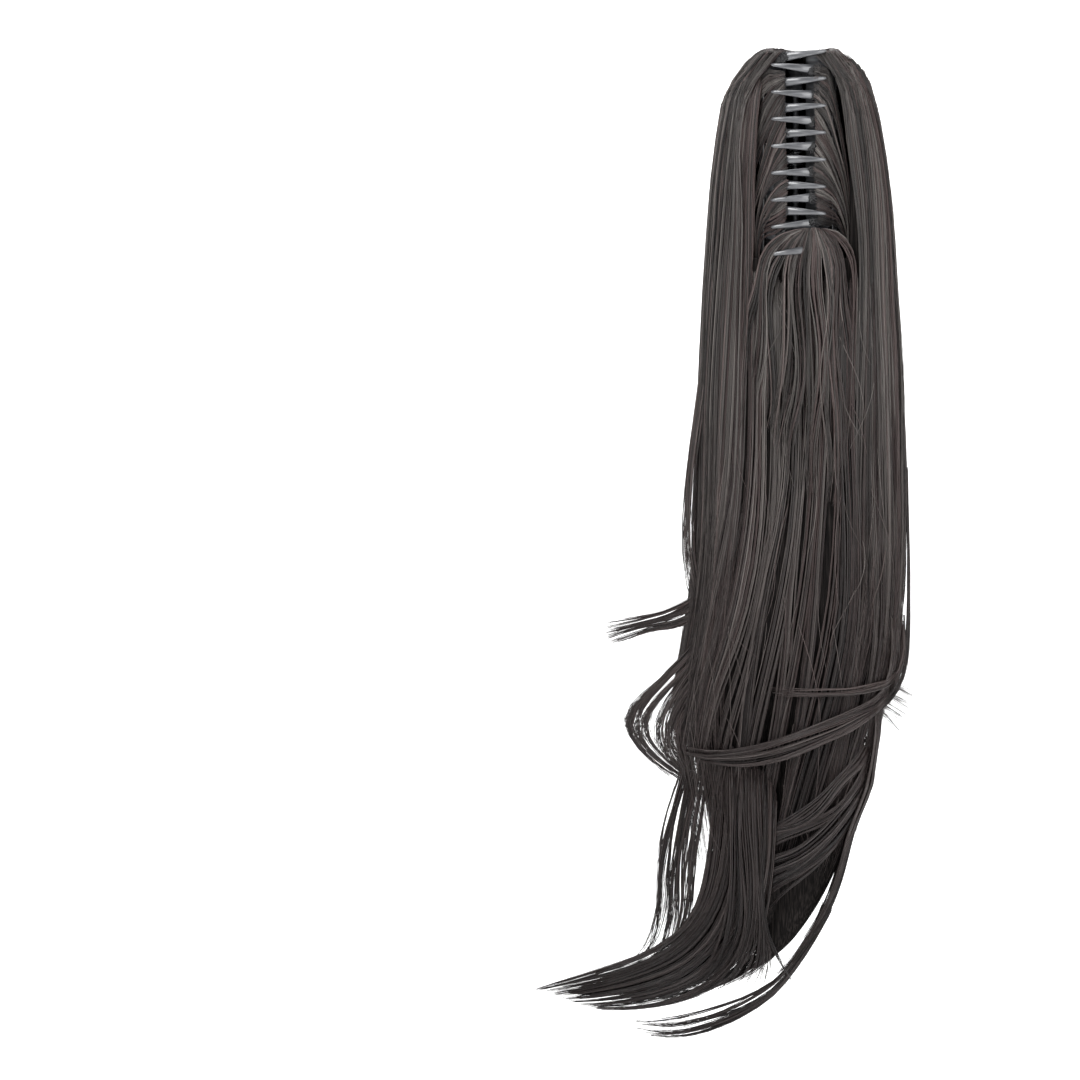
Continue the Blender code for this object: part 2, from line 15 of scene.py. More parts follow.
import bpy
import numpy as np
from numpy.typing import NDArray
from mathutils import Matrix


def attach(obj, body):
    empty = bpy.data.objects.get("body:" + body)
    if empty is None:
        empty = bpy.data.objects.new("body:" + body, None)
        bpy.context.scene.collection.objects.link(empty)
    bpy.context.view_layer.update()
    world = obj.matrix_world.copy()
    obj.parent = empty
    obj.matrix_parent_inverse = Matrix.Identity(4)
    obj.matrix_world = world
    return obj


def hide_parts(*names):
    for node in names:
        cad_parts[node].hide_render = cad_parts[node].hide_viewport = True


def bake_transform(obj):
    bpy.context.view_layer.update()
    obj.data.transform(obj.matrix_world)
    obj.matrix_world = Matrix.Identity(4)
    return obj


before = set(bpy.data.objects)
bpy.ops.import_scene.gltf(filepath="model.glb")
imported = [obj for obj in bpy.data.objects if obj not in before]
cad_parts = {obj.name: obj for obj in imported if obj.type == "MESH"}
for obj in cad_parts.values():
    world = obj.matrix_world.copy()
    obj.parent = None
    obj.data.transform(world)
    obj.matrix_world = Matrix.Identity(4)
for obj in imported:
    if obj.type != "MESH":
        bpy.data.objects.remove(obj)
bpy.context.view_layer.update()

logging.basicConfig(level=logging.INFO, format="%(message)s")
LOG = logging.getLogger("hairpiece")

Array = NDArray[np.float64]
Whole = NDArray[np.int64]
Table = tuple[tuple[float, ...], ...]
Colour = tuple[float, float, float, float]
Surface = tuple[Array, Whole]

MM = 0.001
ROOT = "ponytail"
SIDES = {-1: "left_side", 1: "right_side"}
LABELS = {-1: "left", 1: "right"}

# The clip, as in the solids
PIN_Y = 18.0
JAW_RADIUS = 17.0
WALL = 2.2
CLIP_HALF_LENGTH = 50.0
PARTING_X = 5.0

# The outer form of the hair: two lobes side by side, a row for each height
FORM_COLUMNS = ("z", "left_outer", "left_inner", "right_inner", "right_outer", "front", "back")
FORM_ROWS: Table = (
    (53.0, -14.5, -5.0, 10.5, 19.5, 12.0, 34.0),
    (50.0, -19.5, 3.5, 2.5, 22.5, 1.0, 44.0),
    (44.0, -25.0, 6.0, 1.0, 28.5, -7.0, 50.0),
    (34.0, -31.5, 10.0, -3.0, 34.5, -12.0, 53.0),
    (24.5, -35.0, 12.0, -6.0, 38.0, -13.5, 54.0),
    (5.0, -38.0, 14.0, -8.0, 42.5, -14.0, 54.5),
    (-15.0, -40.5, 14.0, -8.0, 45.6, -14.0, 54.5),
    (-34.0, -42.0, 14.0, -8.0, 47.5, -14.0, 54.0),
    (-54.0, -43.5, 14.0, -8.0, 48.5, -14.0, 53.0),
    (-73.5, -44.6, 14.0, -8.0, 49.5, -14.0, 50.5),
    (-113.0, -46.6, 14.0, -8.0, 51.9, -13.0, 45.0),
    (-152.0, -47.5, 13.0, -9.0, 51.9, -12.0, 40.0),
    (-181.0, -48.0, 12.0, -10.0, 52.9, -11.0, 37.0),
    (-215.0, -50.0, 10.0, -12.0, 51.5, -10.0, 34.5),
    (-245.0, -56.0, 6.0, -16.0, 49.5, -10.0, 32.5),
    (-265.0, -60.0, 3.0, -19.0, 43.0, -10.0, 31.0),
    (-280.0, -60.0, 0.0, -21.0, 39.2, -10.0, 29.5),
    (-299.0, -55.0, -2.0, -23.0, 35.3, -9.0, 27.5),
    (-318.0, -50.5, -3.0, -24.0, 31.0, -8.0, 25.5),
    (-338.0, -49.0, -6.0, -26.0, 21.6, -6.0, 23.5),
    (-358.0, -46.0, -12.0, -28.0, 14.0, -4.0, 21.0),
    (-372.0, -40.0, -20.0, -24.0, 2.0, 2.0, 15.0),
)


class Side(Enum):
    """Where a sheet of hair lies: on the form's front, on its back, or at the depth it states."""

    FRONT = "front"
    BACK = "back"
    FREE = "free"


def spline(points: Array, places: Array) -> Array:
    """A Catmull-Rom curve: a cubic through each four neighbouring points.

    Args:
        points: The points, along the first axis.
        places: Where to read the curve, from 0 at the first point to 1 at the last.

    Returns:
        The curve's points at those places, along the first axis.
    """
    padded = np.concatenate([2 * points[:1] - points[1:2], points, 2 * points[-1:] - points[-2:-1]])
    along = np.clip(places, 0, 1) * (len(points) - 1)
    start = np.minimum(along.astype(int), len(points) - 2)
    t = (along - start).reshape((-1,) + (1,) * (points.ndim - 1))
    a, b, c, d = (padded[start + k] for k in range(4))
    cubic = 3 * b - a - 3 * c + d
    return 0.5 * (2 * b + (c - a) * t + (2 * a - 5 * b + 4 * c - d) * t**2 + cubic * t**3)


def evenly(points: Array, count: int) -> Array:
    """Points at equal distances along the smooth curve through the given ones.

    Args:
        points: The curve's points; the first two columns measure its length.
        count: How many points to return.

    Returns:
        That many points, from the first to the last.
    """
    fine = spline(points, np.linspace(0, 1, 8 * count))
    run = np.concatenate([[0.0], np.cumsum(np.linalg.norm(np.diff(fine[:, :2], axis=0), axis=1))])
    wanted = np.linspace(0, run[-1], count)
    return np.stack([np.interp(wanted, run, fine[:, k]) for k in range(fine.shape[1])], axis=1)


def smoothstep(low: float, high: float, value: Array) -> Array:
    """Rises smoothly from 0 at low to 1 at high."""
    t = np.clip((value - low) / (high - low), 0, 1)
    return t * t * (3 - 2 * t)


@dataclass(frozen=True)
class HairForm:
    """The hair's outer form: two superelliptic lobes whose sides follow a table.

    Attributes:
        rows: The table, with the columns of FORM_COLUMNS.
        power: The superellipse's power; 2 is an ellipse.
        fine: How many rows the smoothed table has.
        clip_cover: The radius at which hair passes the clip, in front of its wall.
        clip_top: The heights between which that cover fades out above the clip.
        clip_bottom: The heights between which it fades in under the clip.
    """

    rows: Table = FORM_ROWS
    power: float = 2.5
    fine: int = 200
    clip_cover: float = 19.6
    clip_top: tuple[float, float] = (51.5, 49.0)
    clip_bottom: tuple[float, float] = (-60.0, -50.0)

    def at(self, z: Array) -> dict[str, Array]:
        """The table's columns at these heights, read from its smoothed rows."""
        table = spline(np.array(self.rows), np.linspace(0, 1, self.fine))[::-1]
        return {name: np.interp(z, table[:, 0], table[:, k]) for k, name in enumerate(FORM_COLUMNS)}

    def lobe(self, side: int, z: Array) -> tuple[Array, Array, Array, Array]:
        """One lobe's section at each height.

        Args:
            side: -1 for the left lobe, 1 for the right one.
            z: The heights.

        Returns:
            The centre's x and y, the half width and the half depth.
        """
        row = self.at(z)
        inner, outer = row[f"{LABELS[side]}_inner"], row[f"{LABELS[side]}_outer"]
        return (
            (inner + outer) / 2,
            (row["front"] + row["back"]) / 2,
            np.abs(outer - inner) / 2,
            (row["back"] - row["front"]) / 2,
        )

    def depth(self, x: Array, z: Array, facing: int) -> Array:
        """The form's surface in y, solved from the superellipse, the outermost of both lobes.

        Args:
            x: The places across.
            z: The heights.
            facing: -1 for the front, 1 for the back.

        Returns:
            The surface's y. Outside the form it is the lobe's side.
        """
        found = []
        for side in (-1, 1):
            centre_x, centre_y, half_width, half_depth = self.lobe(side, z)
            across = np.clip(np.abs(x - centre_x) / half_width, 0, 0.998)
            reach = (1 - across**self.power) ** (1 / self.power)
            found.append(facing * centre_y + half_depth * reach)
        return facing * np.maximum(*found)

    def front(self, x: Array, z: Array) -> Array:
        """The front surface, pushed out where the clip's wall would come through it."""
        surface = self.depth(x, z, -1)
        wall = -np.sqrt(np.clip(self.clip_cover**2 - x**2, 0, None))
        beside_clip = smoothstep(*self.clip_top, z) * smoothstep(*self.clip_bottom, z)
        return surface + beside_clip * (np.minimum(surface, wall) - surface)

    def around(self, side: int, turn: Array, z: Array, lift: Array) -> Array:
        """Points on a lobe's section, at an angle round it.

        Args:
            side: -1 for the left lobe, 1 for the right one.
            turn: The angle in radians, 0 towards +X and a quarter turn towards +Y.
            z: The heights.
            lift: How far out of the form the points lie.

        Returns:
            The points, along a new last axis.
        """
        centre_x, centre_y, half_width, half_depth = self.lobe(side, z)
        root = 2 / self.power
        across = np.sign(np.cos(turn)) * np.abs(np.cos(turn)) ** root
        deep = np.sign(np.sin(turn)) * np.abs(np.sin(turn)) ** root
        x = centre_x + (half_width + lift) * across
        y = centre_y + (half_depth + lift) * deep
        return np.stack([x, y, z], axis=-1)


FORM = HairForm()


class Signal:
    """A number in a shader, which Python's operators turn into Math nodes."""

    def __init__(self, tree: "Tree", socket: Any) -> None:
        """Wraps a socket that gives a number."""
        self.tree = tree
        self.socket = socket

    def _math(self, operation: str, *values: Any) -> "Signal":
        """A Math node on these values."""
        made = self.tree.node("ShaderNodeMath", {"operation": operation}, dict(enumerate(values)))
        return Signal(self.tree, made.outputs[0])

    def __add__(self, other: Any) -> "Signal":
        """Adds a value."""
        return self._math("ADD", self, other)

    def __sub__(self, other: Any) -> "Signal":
        """Takes a value away."""
        return self._math("SUBTRACT", self, other)

    def __rsub__(self, other: Any) -> "Signal":
        """Takes this from a value."""
        return self._math("SUBTRACT", other, self)

    def __mul__(self, other: Any) -> "Signal":
        """Multiplies by a value."""
        return self._math("MULTIPLY", self, other)

    __radd__ = __add__
    __rmul__ = __mul__

    def fraction(self) -> "Signal":
        """What follows the decimal point."""
        return self._math("FRACT", self)

    def above(self, low: float, high: float) -> "Signal":
        """Rises smoothly from 0 at low to 1 at high."""
        made = self.tree.node(
            "ShaderNodeMapRange",
            {"interpolation_type": "SMOOTHSTEP"},
            {"Value": self, "From Min": low, "From Max": high},
        )
        return Signal(self.tree, made.outputs["Result"])


class Tree:
    """A material's nodes, made through one method."""

    def __init__(self, name: str) -> None:
        """Starts a material of this name with its Principled shader."""
        self.material = bpy.data.materials.new(name)
        self.material.use_nodes = True
        self.nodes = self.material.node_tree.nodes
        self.links = self.material.node_tree.links
        self.shader = self.nodes["Principled BSDF"]

    def plug(self, socket: Any, value: Any) -> None:
        """Gives a socket a link or a value."""
        if isinstance(value, Signal):
            value = value.socket
        if isinstance(value, bpy.types.NodeSocket):
            self.links.new(value, socket)
        else:
            socket.default_value = value

    def node(self, kind: str, settings: dict[str, Any], sockets: dict[Any, Any]) -> Any:
        """A node of any type.

        Args:
            kind: The node's type.
            settings: Its settings, set first. Stops, on a ramp, are pairs of place and colour.
            sockets: Values or links for its inputs, by name or number.

        Returns:
            The node.
        """
        made = self.nodes.new(kind)
        for name, value in settings.items():
            if name == "stops":
                ramp = made.color_ramp
                for _ in value[2:]:
                    ramp.elements.new(0.5)
                for element, (place, colour) in zip(ramp.elements, value):
                    element.position = place
                    element.color = colour
            else:
                setattr(made, name, value)
        for name, value in sockets.items():
            self.plug(made.inputs[name], value)
        return made

    def mix(self, factor: Any, first: Any, second: Any) -> Any:
        """The colour between two, by a factor."""
        made = self.node("ShaderNodeMix", {"data_type": "RGBA"}, {0: factor, 6: first, 7: second})
        return made.outputs[2]

    def shade(self, colour: Any, amount: Any) -> Any:
        """A colour times a number."""
        sockets = {0: colour[:3] if isinstance(colour, tuple) else colour, "Scale": amount}
        return self.node("ShaderNodeVectorMath", {"operation": "SCALE"}, sockets).outputs[0]

    def uv(self, name: str) -> tuple[Signal, Signal]:
        """The two numbers of a UV map."""
        read = self.node("ShaderNodeUVMap", {"uv_map": name}, {})
        split = self.node("ShaderNodeSeparateXYZ", {}, {0: read.outputs[0]})
        return Signal(self, split.outputs[0]), Signal(self, split.outputs[1])

    def place(self) -> Any:
        """The Object coordinates, as a link."""
        return self.node("ShaderNodeTexCoord", {}, {}).outputs["Object"]

    def height(self) -> Signal:
        """How high a point is, in metres."""
        return Signal(self, self.node("ShaderNodeSeparateXYZ", {}, {0: self.place()}).outputs[2])

    def noise(self, vector: Any, scale: float, detail: float = 2.0) -> Signal:
        """Smooth noise on a vector."""
        made = self.node("ShaderNodeTexNoise", {}, {"Vector": vector, "Scale": scale, "Detail": detail})
        return Signal(self, made.outputs[0])

    def finish(self, **sockets: Any) -> Any:
        """Sets the shader's inputs, with an underscore for each space, and returns the material."""
        for name, value in sockets.items():
            self.plug(self.shader.inputs[name.replace("_", " ")], value)
        return self.material


@dataclass(frozen=True)
class HairFinish:
    """Satin synthetic hair, dark brown black, with each strand a little different.

    Attributes:
        name: The material's name.
        dark: The darkest strands.
        middle: The usual strands.
        light: The lightest strands.
        red: A reddish middle, for some locks and for the tail.
        low_shade: How dark the tail is next to the crown.
        roughness: The gloss of the smoothest strand.
    """

    name: str = "hair_strands"
    dark: Colour = (0.008, 0.007, 0.007, 1)
    middle: Colour = (0.042, 0.037, 0.035, 1)
    light: Colour = (0.160, 0.146, 0.136, 1)
    red: Colour = (0.052, 0.030, 0.029, 1)
    low_shade: float = 0.28
    roughness: float = 0.32

    def make(self) -> Any:
        """Builds the material on the strand and lock UV maps."""
        tree = Tree(self.name)
        strand, along = tree.uv("strand")
        fine, clump = tree.uv("lock")
        run = tree.node("ShaderNodeCombineXYZ", {}, {0: strand * 90, 1: along * 6, 2: fine * 40})
        streak = tree.noise(run.outputs[0], 1.0) - 0.5
        tone = strand * 0.34 + fine * 0.46 + clump * 0.2 + streak * 0.35
        stops = [(0.15, self.dark), (0.5, self.middle), (0.92, self.light)]
        colour = tree.node("ShaderNodeValToRGB", {"stops": stops}, {0: tone}).outputs[0]
        high = tree.height().above(-0.42, -0.08)
        tint = (clump * 3.7 + fine * 0.6).fraction().above(0.45, 0.8) * 0.55
        colour = tree.mix(tint * high + (1 - high) * 0.6, colour, tree.shade(self.red, tone * 2))
        return tree.finish(
            Base_Color=tree.shade(colour, high * (1 - self.low_shade) + self.low_shade),
            Roughness=strand * 0.16 + self.roughness,
            IOR=1.42,
        )


@dataclass(frozen=True)
class CoreFinish:
    """The shaded hair inside the body, with streaks that run down it.

    Attributes:
        name: The material's name.
        dark: The colour of the gaps.
        light: The colour of the strands that catch some light.
    """

    name: str = "hair_core"
    dark: Colour = (0.004, 0.0035, 0.0035, 1)
    light: Colour = (0.020, 0.017, 0.016, 1)

    def make(self) -> Any:
        """Builds the material on Object coordinates, squeezed along the hair."""
        tree = Tree(self.name)
        squeezed = tree.node("ShaderNodeMapping", {}, {0: tree.place(), "Scale": (1600, 1600, 30)})
        streak = tree.noise(squeezed.outputs[0], 1.0, 3.0)
        bump = tree.node("ShaderNodeBump", {}, {"Height": streak, "Strength": 0.8, "Distance": 0.0006})
        return tree.finish(
            Base_Color=tree.mix(streak.above(0.40, 0.70), self.dark, self.light),
            Roughness=0.9,
            Specular_IOR_Level=0.08,
            Normal=bump.outputs[0],
        )


@dataclass(frozen=True)
class ClawFinish:
    """Moulded grey plastic with a soft gloss, faint handling marks in its roughness and a painted highlight
    in lighter streaks.

    Attributes:
        name: The material's name.
        base: The plastic's colour.
        painted_highlight: A lighter grey, painted in streaks along the teeth as their highlight.
    """

    name: str = "claw_plastic"
    base: Colour = (0.050, 0.052, 0.057, 1)
    painted_highlight: Colour = (0.105, 0.108, 0.115, 1)

    def make(self) -> Any:
        """Builds the material: streaks drawn out along the teeth, a painted highlight in the colour and
        handling marks in the roughness, and a fine moulded grain.
        """
        tree = Tree(self.name)
        drawn = tree.node("ShaderNodeMapping", {}, {0: tree.place(), "Scale": (120, 120, 900)})
        # Painted highlight: where this noise rises, the colour turns a lighter grey along the teeth; the same
        # noise also makes the plastic rougher there.
        wear_and_highlight = tree.noise(drawn.outputs[0], 1.0, 4.0)
        grain = tree.noise(tree.place(), 2600.0, 2.0)
        bump = tree.node("ShaderNodeBump", {}, {"Height": grain, "Strength": 0.12, "Distance": 0.0001})
        return tree.finish(
            Base_Color=tree.mix(wear_and_highlight.above(0.40, 0.70), self.base, self.painted_highlight),
            Roughness=wear_and_highlight * 0.2 + 0.22,
            Normal=bump.outputs[0],
            Coat_Weight=0.5,
            Coat_Roughness=0.1,
        )


@dataclass(frozen=True)
class SteelFinish:
    """Drawn wire, dulled by its black chrome.

    Attributes:
        name: The material's name.
        colour: The metal's colour.
    """

    name: str = "steel_wire"
    colour: Colour = (0.20, 0.20, 0.21, 1)

    def make(self) -> Any:
        """Builds the material: metal with fine draw marks."""
        tree = Tree(self.name)
        marks = tree.noise(tree.place(), 900.0, 3.0)
        return tree.finish(Base_Color=self.colour, Metallic=1.0, Roughness=marks * 0.2 + 0.38)


@dataclass(frozen=True)
class ThreadFinish:
    """Black sewing thread and knotted weft.

    Attributes:
        name: The material's name.
        colour: The thread's colour.
        worn: The colour of its raised fibres.
    """

    name: str = "weft_thread"
    colour: Colour = (0.006, 0.006, 0.007, 1)
    worn: Colour = (0.024, 0.023, 0.024, 1)

    def make(self) -> Any:
        """Builds the material: fine fibres in colour and bump."""
        tree = Tree(self.name)
        fibre = tree.noise(tree.place(), 1800.0, 3.0)
        bump = tree.node("ShaderNodeBump", {}, {"Height": fibre, "Strength": 0.6, "Distance": 0.0002})
        return tree.finish(
            Base_Color=tree.mix(fibre.above(0.45, 0.75), self.colour, self.worn),
            Roughness=0.42,
            Normal=bump.outputs[0],
        )


@dataclass(frozen=True)
class StudioFinish:
    """The white paper of the studio.

    Attributes:
        name: The material's name.
        colour: The paper's colour.
        glow: How strongly it shines, as paper that is lit from all round.
    """

    name: str = "studio_paper"
    colour: Colour = (0.93, 0.93, 0.93, 1)
    glow: float = 0.75

    def make(self) -> Any:
        """Builds the material: matt, with no pattern."""
        return Tree(self.name).finish(
            Base_Color=self.colour, Roughness=0.9, Emission_Color=self.colour, Emission_Strength=self.glow
        )


def new_piece(name: str, surface: Surface, material: Any) -> Any:
    """A new object from millimetre points and faces.

    Args:
        name: The piece's name.
        surface: Its points, and the numbers of each face's corners; -1 makes a triangle.
        material: Its material.

    Returns:
        The object, at the origin.
    """
    points, faces = surface
    sizes = (faces >= 0).sum(axis=1)
    mesh = bpy.data.meshes.new(name)
    mesh.vertices.add(len(points))
    mesh.vertices.foreach_set("co", (points * MM).astype(np.float32).ravel())
    mesh.loops.add(int(sizes.sum()))
    mesh.loops.foreach_set("vertex_index", faces[faces >= 0].astype(np.int32))
    mesh.polygons.add(len(faces))
    mesh.polygons.foreach_set("loop_start", np.concatenate([[0], np.cumsum(sizes)[:-1]]).astype(np.int32))
    mesh.update(calc_edges=True)
    mesh.validate()
    mesh.shade_smooth()
    mesh.materials.append(material)
    made = bpy.data.objects.new(name, mesh)
    bpy.context.scene.collection.objects.link(made)
    return made


def tube_faces(tubes: int, rings: int, sides: int) -> Whole:
    """The faces of many closed tubes, each with rings of points one after another.

    Args:
        tubes: How many tubes there are.
        rings: The rings in each.
        sides: The points in each ring.

    Returns:
        Quads along the tubes, and fans of triangles that close their ends.
    """
    ring = np.arange(rings - 1)[:, None] * sides
    here = np.arange(sides)[None, :]
    there = (here + 1) % sides
    quads = np.stack([ring + here, ring + there, ring + sides + there, ring + sides + here], axis=-1)
    quads = quads.reshape(-1, 4)
    fan = np.arange(1, sides - 1)
    first = np.stack([0 * fan, fan + 1, fan, 0 * fan - 1], axis=-1)
    last = np.stack([0 * fan, fan, fan + 1, 0 * fan - 1], axis=-1)
    last[:, :3] += (rings - 1) * sides
    one = np.concatenate([quads, first, last])
    offsets = np.arange(tubes)[:, None, None] * rings * sides
    return np.where(one[None] >= 0, one[None] + offsets, -1).reshape(-1, 4)


def carried(paths: Array, radii: Array, sides: int, roll: Array) -> Surface:
    """Closed tubes round many paths, with frames carried along without twist.

    Each ring's first direction is the last ring's, less its part along the path.

    Args:
        paths: The paths, as tubes by points by three.
        radii: The radius at each point of each path.
        sides: The points in each ring.
        roll: The angle at which each tube's ring starts.

    Returns:
        The points, tube after tube, and their faces.
    """
    tangents = np.gradient(paths, axis=1)
    tangents /= np.linalg.norm(tangents, axis=2, keepdims=True) + 1e-9
    away = np.where(np.abs(tangents[:, :1, 1:2]) < 0.8, [[[0.0, 1.0, 0.0]]], [[[1.0, 0.0, 0.0]]])[:, 0]
    across = np.empty_like(paths)
    for k in range(paths.shape[1]):
        away = away - tangents[:, k] * (away * tangents[:, k]).sum(axis=1, keepdims=True)
        away /= np.linalg.norm(away, axis=1, keepdims=True) + 1e-9
        across[:, k] = away
    beside = np.cross(tangents, across)
    angles = roll[:, None] + 2 * math.pi * np.arange(sides)[None, :] / sides
    turned = (
        np.cos(angles)[:, None, :, None] * across[:, :, None]
        + np.sin(angles)[:, None, :, None] * beside[:, :, None]
    )
    points = (paths[:, :, None] + radii[:, :, None, None] * turned).reshape(-1, 3)
    return points, tube_faces(paths.shape[0], paths.shape[1], sides)


def flipped(surface: Surface) -> Surface:
    """The same surface with every face turned over."""
    points, faces = surface
    triangles = faces[:, 3:] < 0
    return points, np.where(triangles, faces[:, [0, 2, 1, 3]], faces[:, ::-1])


def mirrored(surface: Surface) -> Surface:
    """The surface's mirror image in x, with its faces still outwards."""
    points, faces = flipped(surface)
    return points * [-1, 1, 1], faces


def loft(rings: Array) -> Surface:
    """A closed solid through rings of points.

    Args:
        rings: The points, as rings by points by three.

    Returns:
        The points and faces, turned outwards: the volume under the faces is positive.
    """
    points, faces = rings.reshape(-1, 3), tube_faces(1, rings.shape[0], rings.shape[1])
    corners = points[faces[:, :3]] - points.mean(axis=0)
    volume = np.einsum("ij,ij->", corners[:, 0], np.cross(corners[:, 1], corners[:, 2]))
    return (points, faces) if volume > 0 else flipped((points, faces))


def joined(surfaces: list[Surface]) -> Surface:
    """Several surfaces as one."""
    starts = np.cumsum([0] + [len(points) for points, _ in surfaces])[:-1]
    faces = [np.where(rows >= 0, rows + start, -1) for (_, rows), start in zip(surfaces, starts)]
    return np.concatenate([points for points, _ in surfaces]), np.concatenate(faces)


def rounded(half_a: float, half_b: float, radius: float, steps: int = 5) -> Array:
    """A rounded rectangle: four quarter circles round the corners.

    Args:
        half_a: Half the first side.
        half_b: Half the second side.
        radius: The corners' radius.
        steps: The points round a corner.

    Returns:
        The outline, as points by two.
    """
    turn = np.linspace(0, math.pi / 2, steps)
    quarter = radius * np.stack([np.cos(turn), np.sin(turn)], axis=1)
    corner = quarter + [half_a - radius, half_b - radius]
    mirror = corner[::-1] * [-1, 1]
    return np.concatenate([corner, mirror, -corner, -mirror])


@dataclass
class Strands:
    """Many strands, ready to be meshed.

    Attributes:
        paths: Their paths, as strands by points by three.
        fine: Each strand's fine lock, as a random number from 0 to 1.
        clump: Each strand's clump, as a random number from 0 to 1.
        radius: Their radius at the root.
        tones: The range of the strands' own tones, from dark at 0 to light at 1.
        tip: Their radius at the tip, as a share of the root's.
    """

    paths: Array
    fine: Array
    clump: Array
    radius: float = 0.20
    tones: tuple[float, float] = (0.0, 1.0)
    tip: float = 0.35

    def mesh(self, name: str, material: Any, rng: np.random.Generator) -> Any:
        """One object of three-sided tubes, with UV maps of strand and lock."""
        count, points = self.paths.shape[:2]
        along = np.linspace(0, 1, points)
        taper = self.tip + (1 - self.tip) * (1 - along**3)
        radii = self.radius * taper[None, :] * rng.uniform(0.7, 1.3, (count, 1))
        made = new_piece(name, carried(self.paths, radii, 3, rng.uniform(0, 2 * math.pi, count)), material)
        own = rng.uniform(*self.tones, count)
        lengths = np.tile(np.repeat(along, 3), count)
        own, fine, clump = (np.repeat(values, points * 3) for values in (own, self.fine, self.clump))
        corners = np.empty(len(made.data.loops), np.int32)
        made.data.loops.foreach_get("vertex_index", corners)
        for label, first, second in (("strand", own, lengths), ("lock", fine, clump)):
            layer = made.data.uv_layers.new(name=label)
            pairs = np.stack([first[corners], second[corners]], axis=1)
            layer.uv.foreach_set("vector", pairs.astype(np.float32).ravel())
        LOG.info("%s: %d strands, %d triangles", name, count, count * ((points - 1) * 6 + 2))
        return made


@dataclass
class Clumping:
    """Gathers strands in clumps and in fine locks, and gives each a rounded ridge.

    Attributes:
        count: How many clumps lie side by side.
        fine: How many fine locks lie side by side.
        ridge: How far a clump's middle stands out.
        groove: How far a fine lock stands out or lies back.
        pull: How far the strands close up on their clump's middle towards the tips, from 0 to 1.
        wander: How far a clump sways, in clump widths.
        depth: How deep the strands lie under the surface.
    """

    count: int = 14
    fine: int = 60
    ridge: float = 0.7
    groove: float = 0.45
    pull: float = 0.45
    wander: float = 0.35
    depth: float = 1.4

    def place(
        self, start: Array, along: Array, rng: np.random.Generator
    ) -> tuple[Array, Array, Array, Array]:
        """Where strands lie across a sheet and how far they stand out of it.

        Args:
            start: Each strand's place across at the root, from 0 to 1.
            along: Places along the strands, as strands by points.
            rng: The random numbers.

        Returns:
            The place across and the height at each point, and each strand's fine lock and clump.
        """
        edges = np.sort(rng.uniform(-0.35, 0.35, self.count + 1) + np.arange(self.count + 1)) / self.count
        edges[0], edges[-1] = 0.0, 1.0
        which = np.clip(np.searchsorted(edges, start, side="right") - 1, 0, self.count - 1)
        low, high = edges[which], edges[which + 1]
        middle = (low + high) / 2
        inside = (start - low) / (high - low)
        lock = np.minimum((start * self.fine).astype(int), self.fine - 1)
        lock_middle = (lock + 0.5) / self.fine
        sway = rng.uniform(0, 2 * math.pi, (self.count, 2))[which]
        speed = rng.uniform(0.6, 1.6, self.count)[which]
        wave = np.sin(2 * math.pi * speed[:, None] * along + sway[:, :1]) * smoothstep(0, 0.3, along)
        drift = rng.uniform(-1, 1, (self.fine, 2))[lock]
        small = np.sin(5 * along + 6 * drift[:, 1:]) * drift[:, :1] * smoothstep(0, 0.4, along)
        across = (
            start[:, None]
            + (middle - start)[:, None] * self.pull * along**1.5
            + (lock_middle - start)[:, None] * 0.5 * smoothstep(0, 0.3, along)
            + wave * self.wander / self.count
            + small * 0.9 / self.fine
        )
        rise = rng.uniform(-0.4, 0.4, self.count)[which] + rng.uniform(-1, 1, self.fine)[lock] * self.groove
        ridge = self.ridge * (1 - (2 * inside - 1) ** 2)
        sunk = self.depth * rng.uniform(0, 1, len(start)) ** 1.7
        height = (ridge + rise - sunk)[:, None] + 0.2 * np.sin(9 * along + sway[:, 1:])
        fine_tone, clump_tone = rng.uniform(0, 1, self.fine)[lock], rng.uniform(0, 1, self.count)[which]
        return across, height, fine_tone, clump_tone


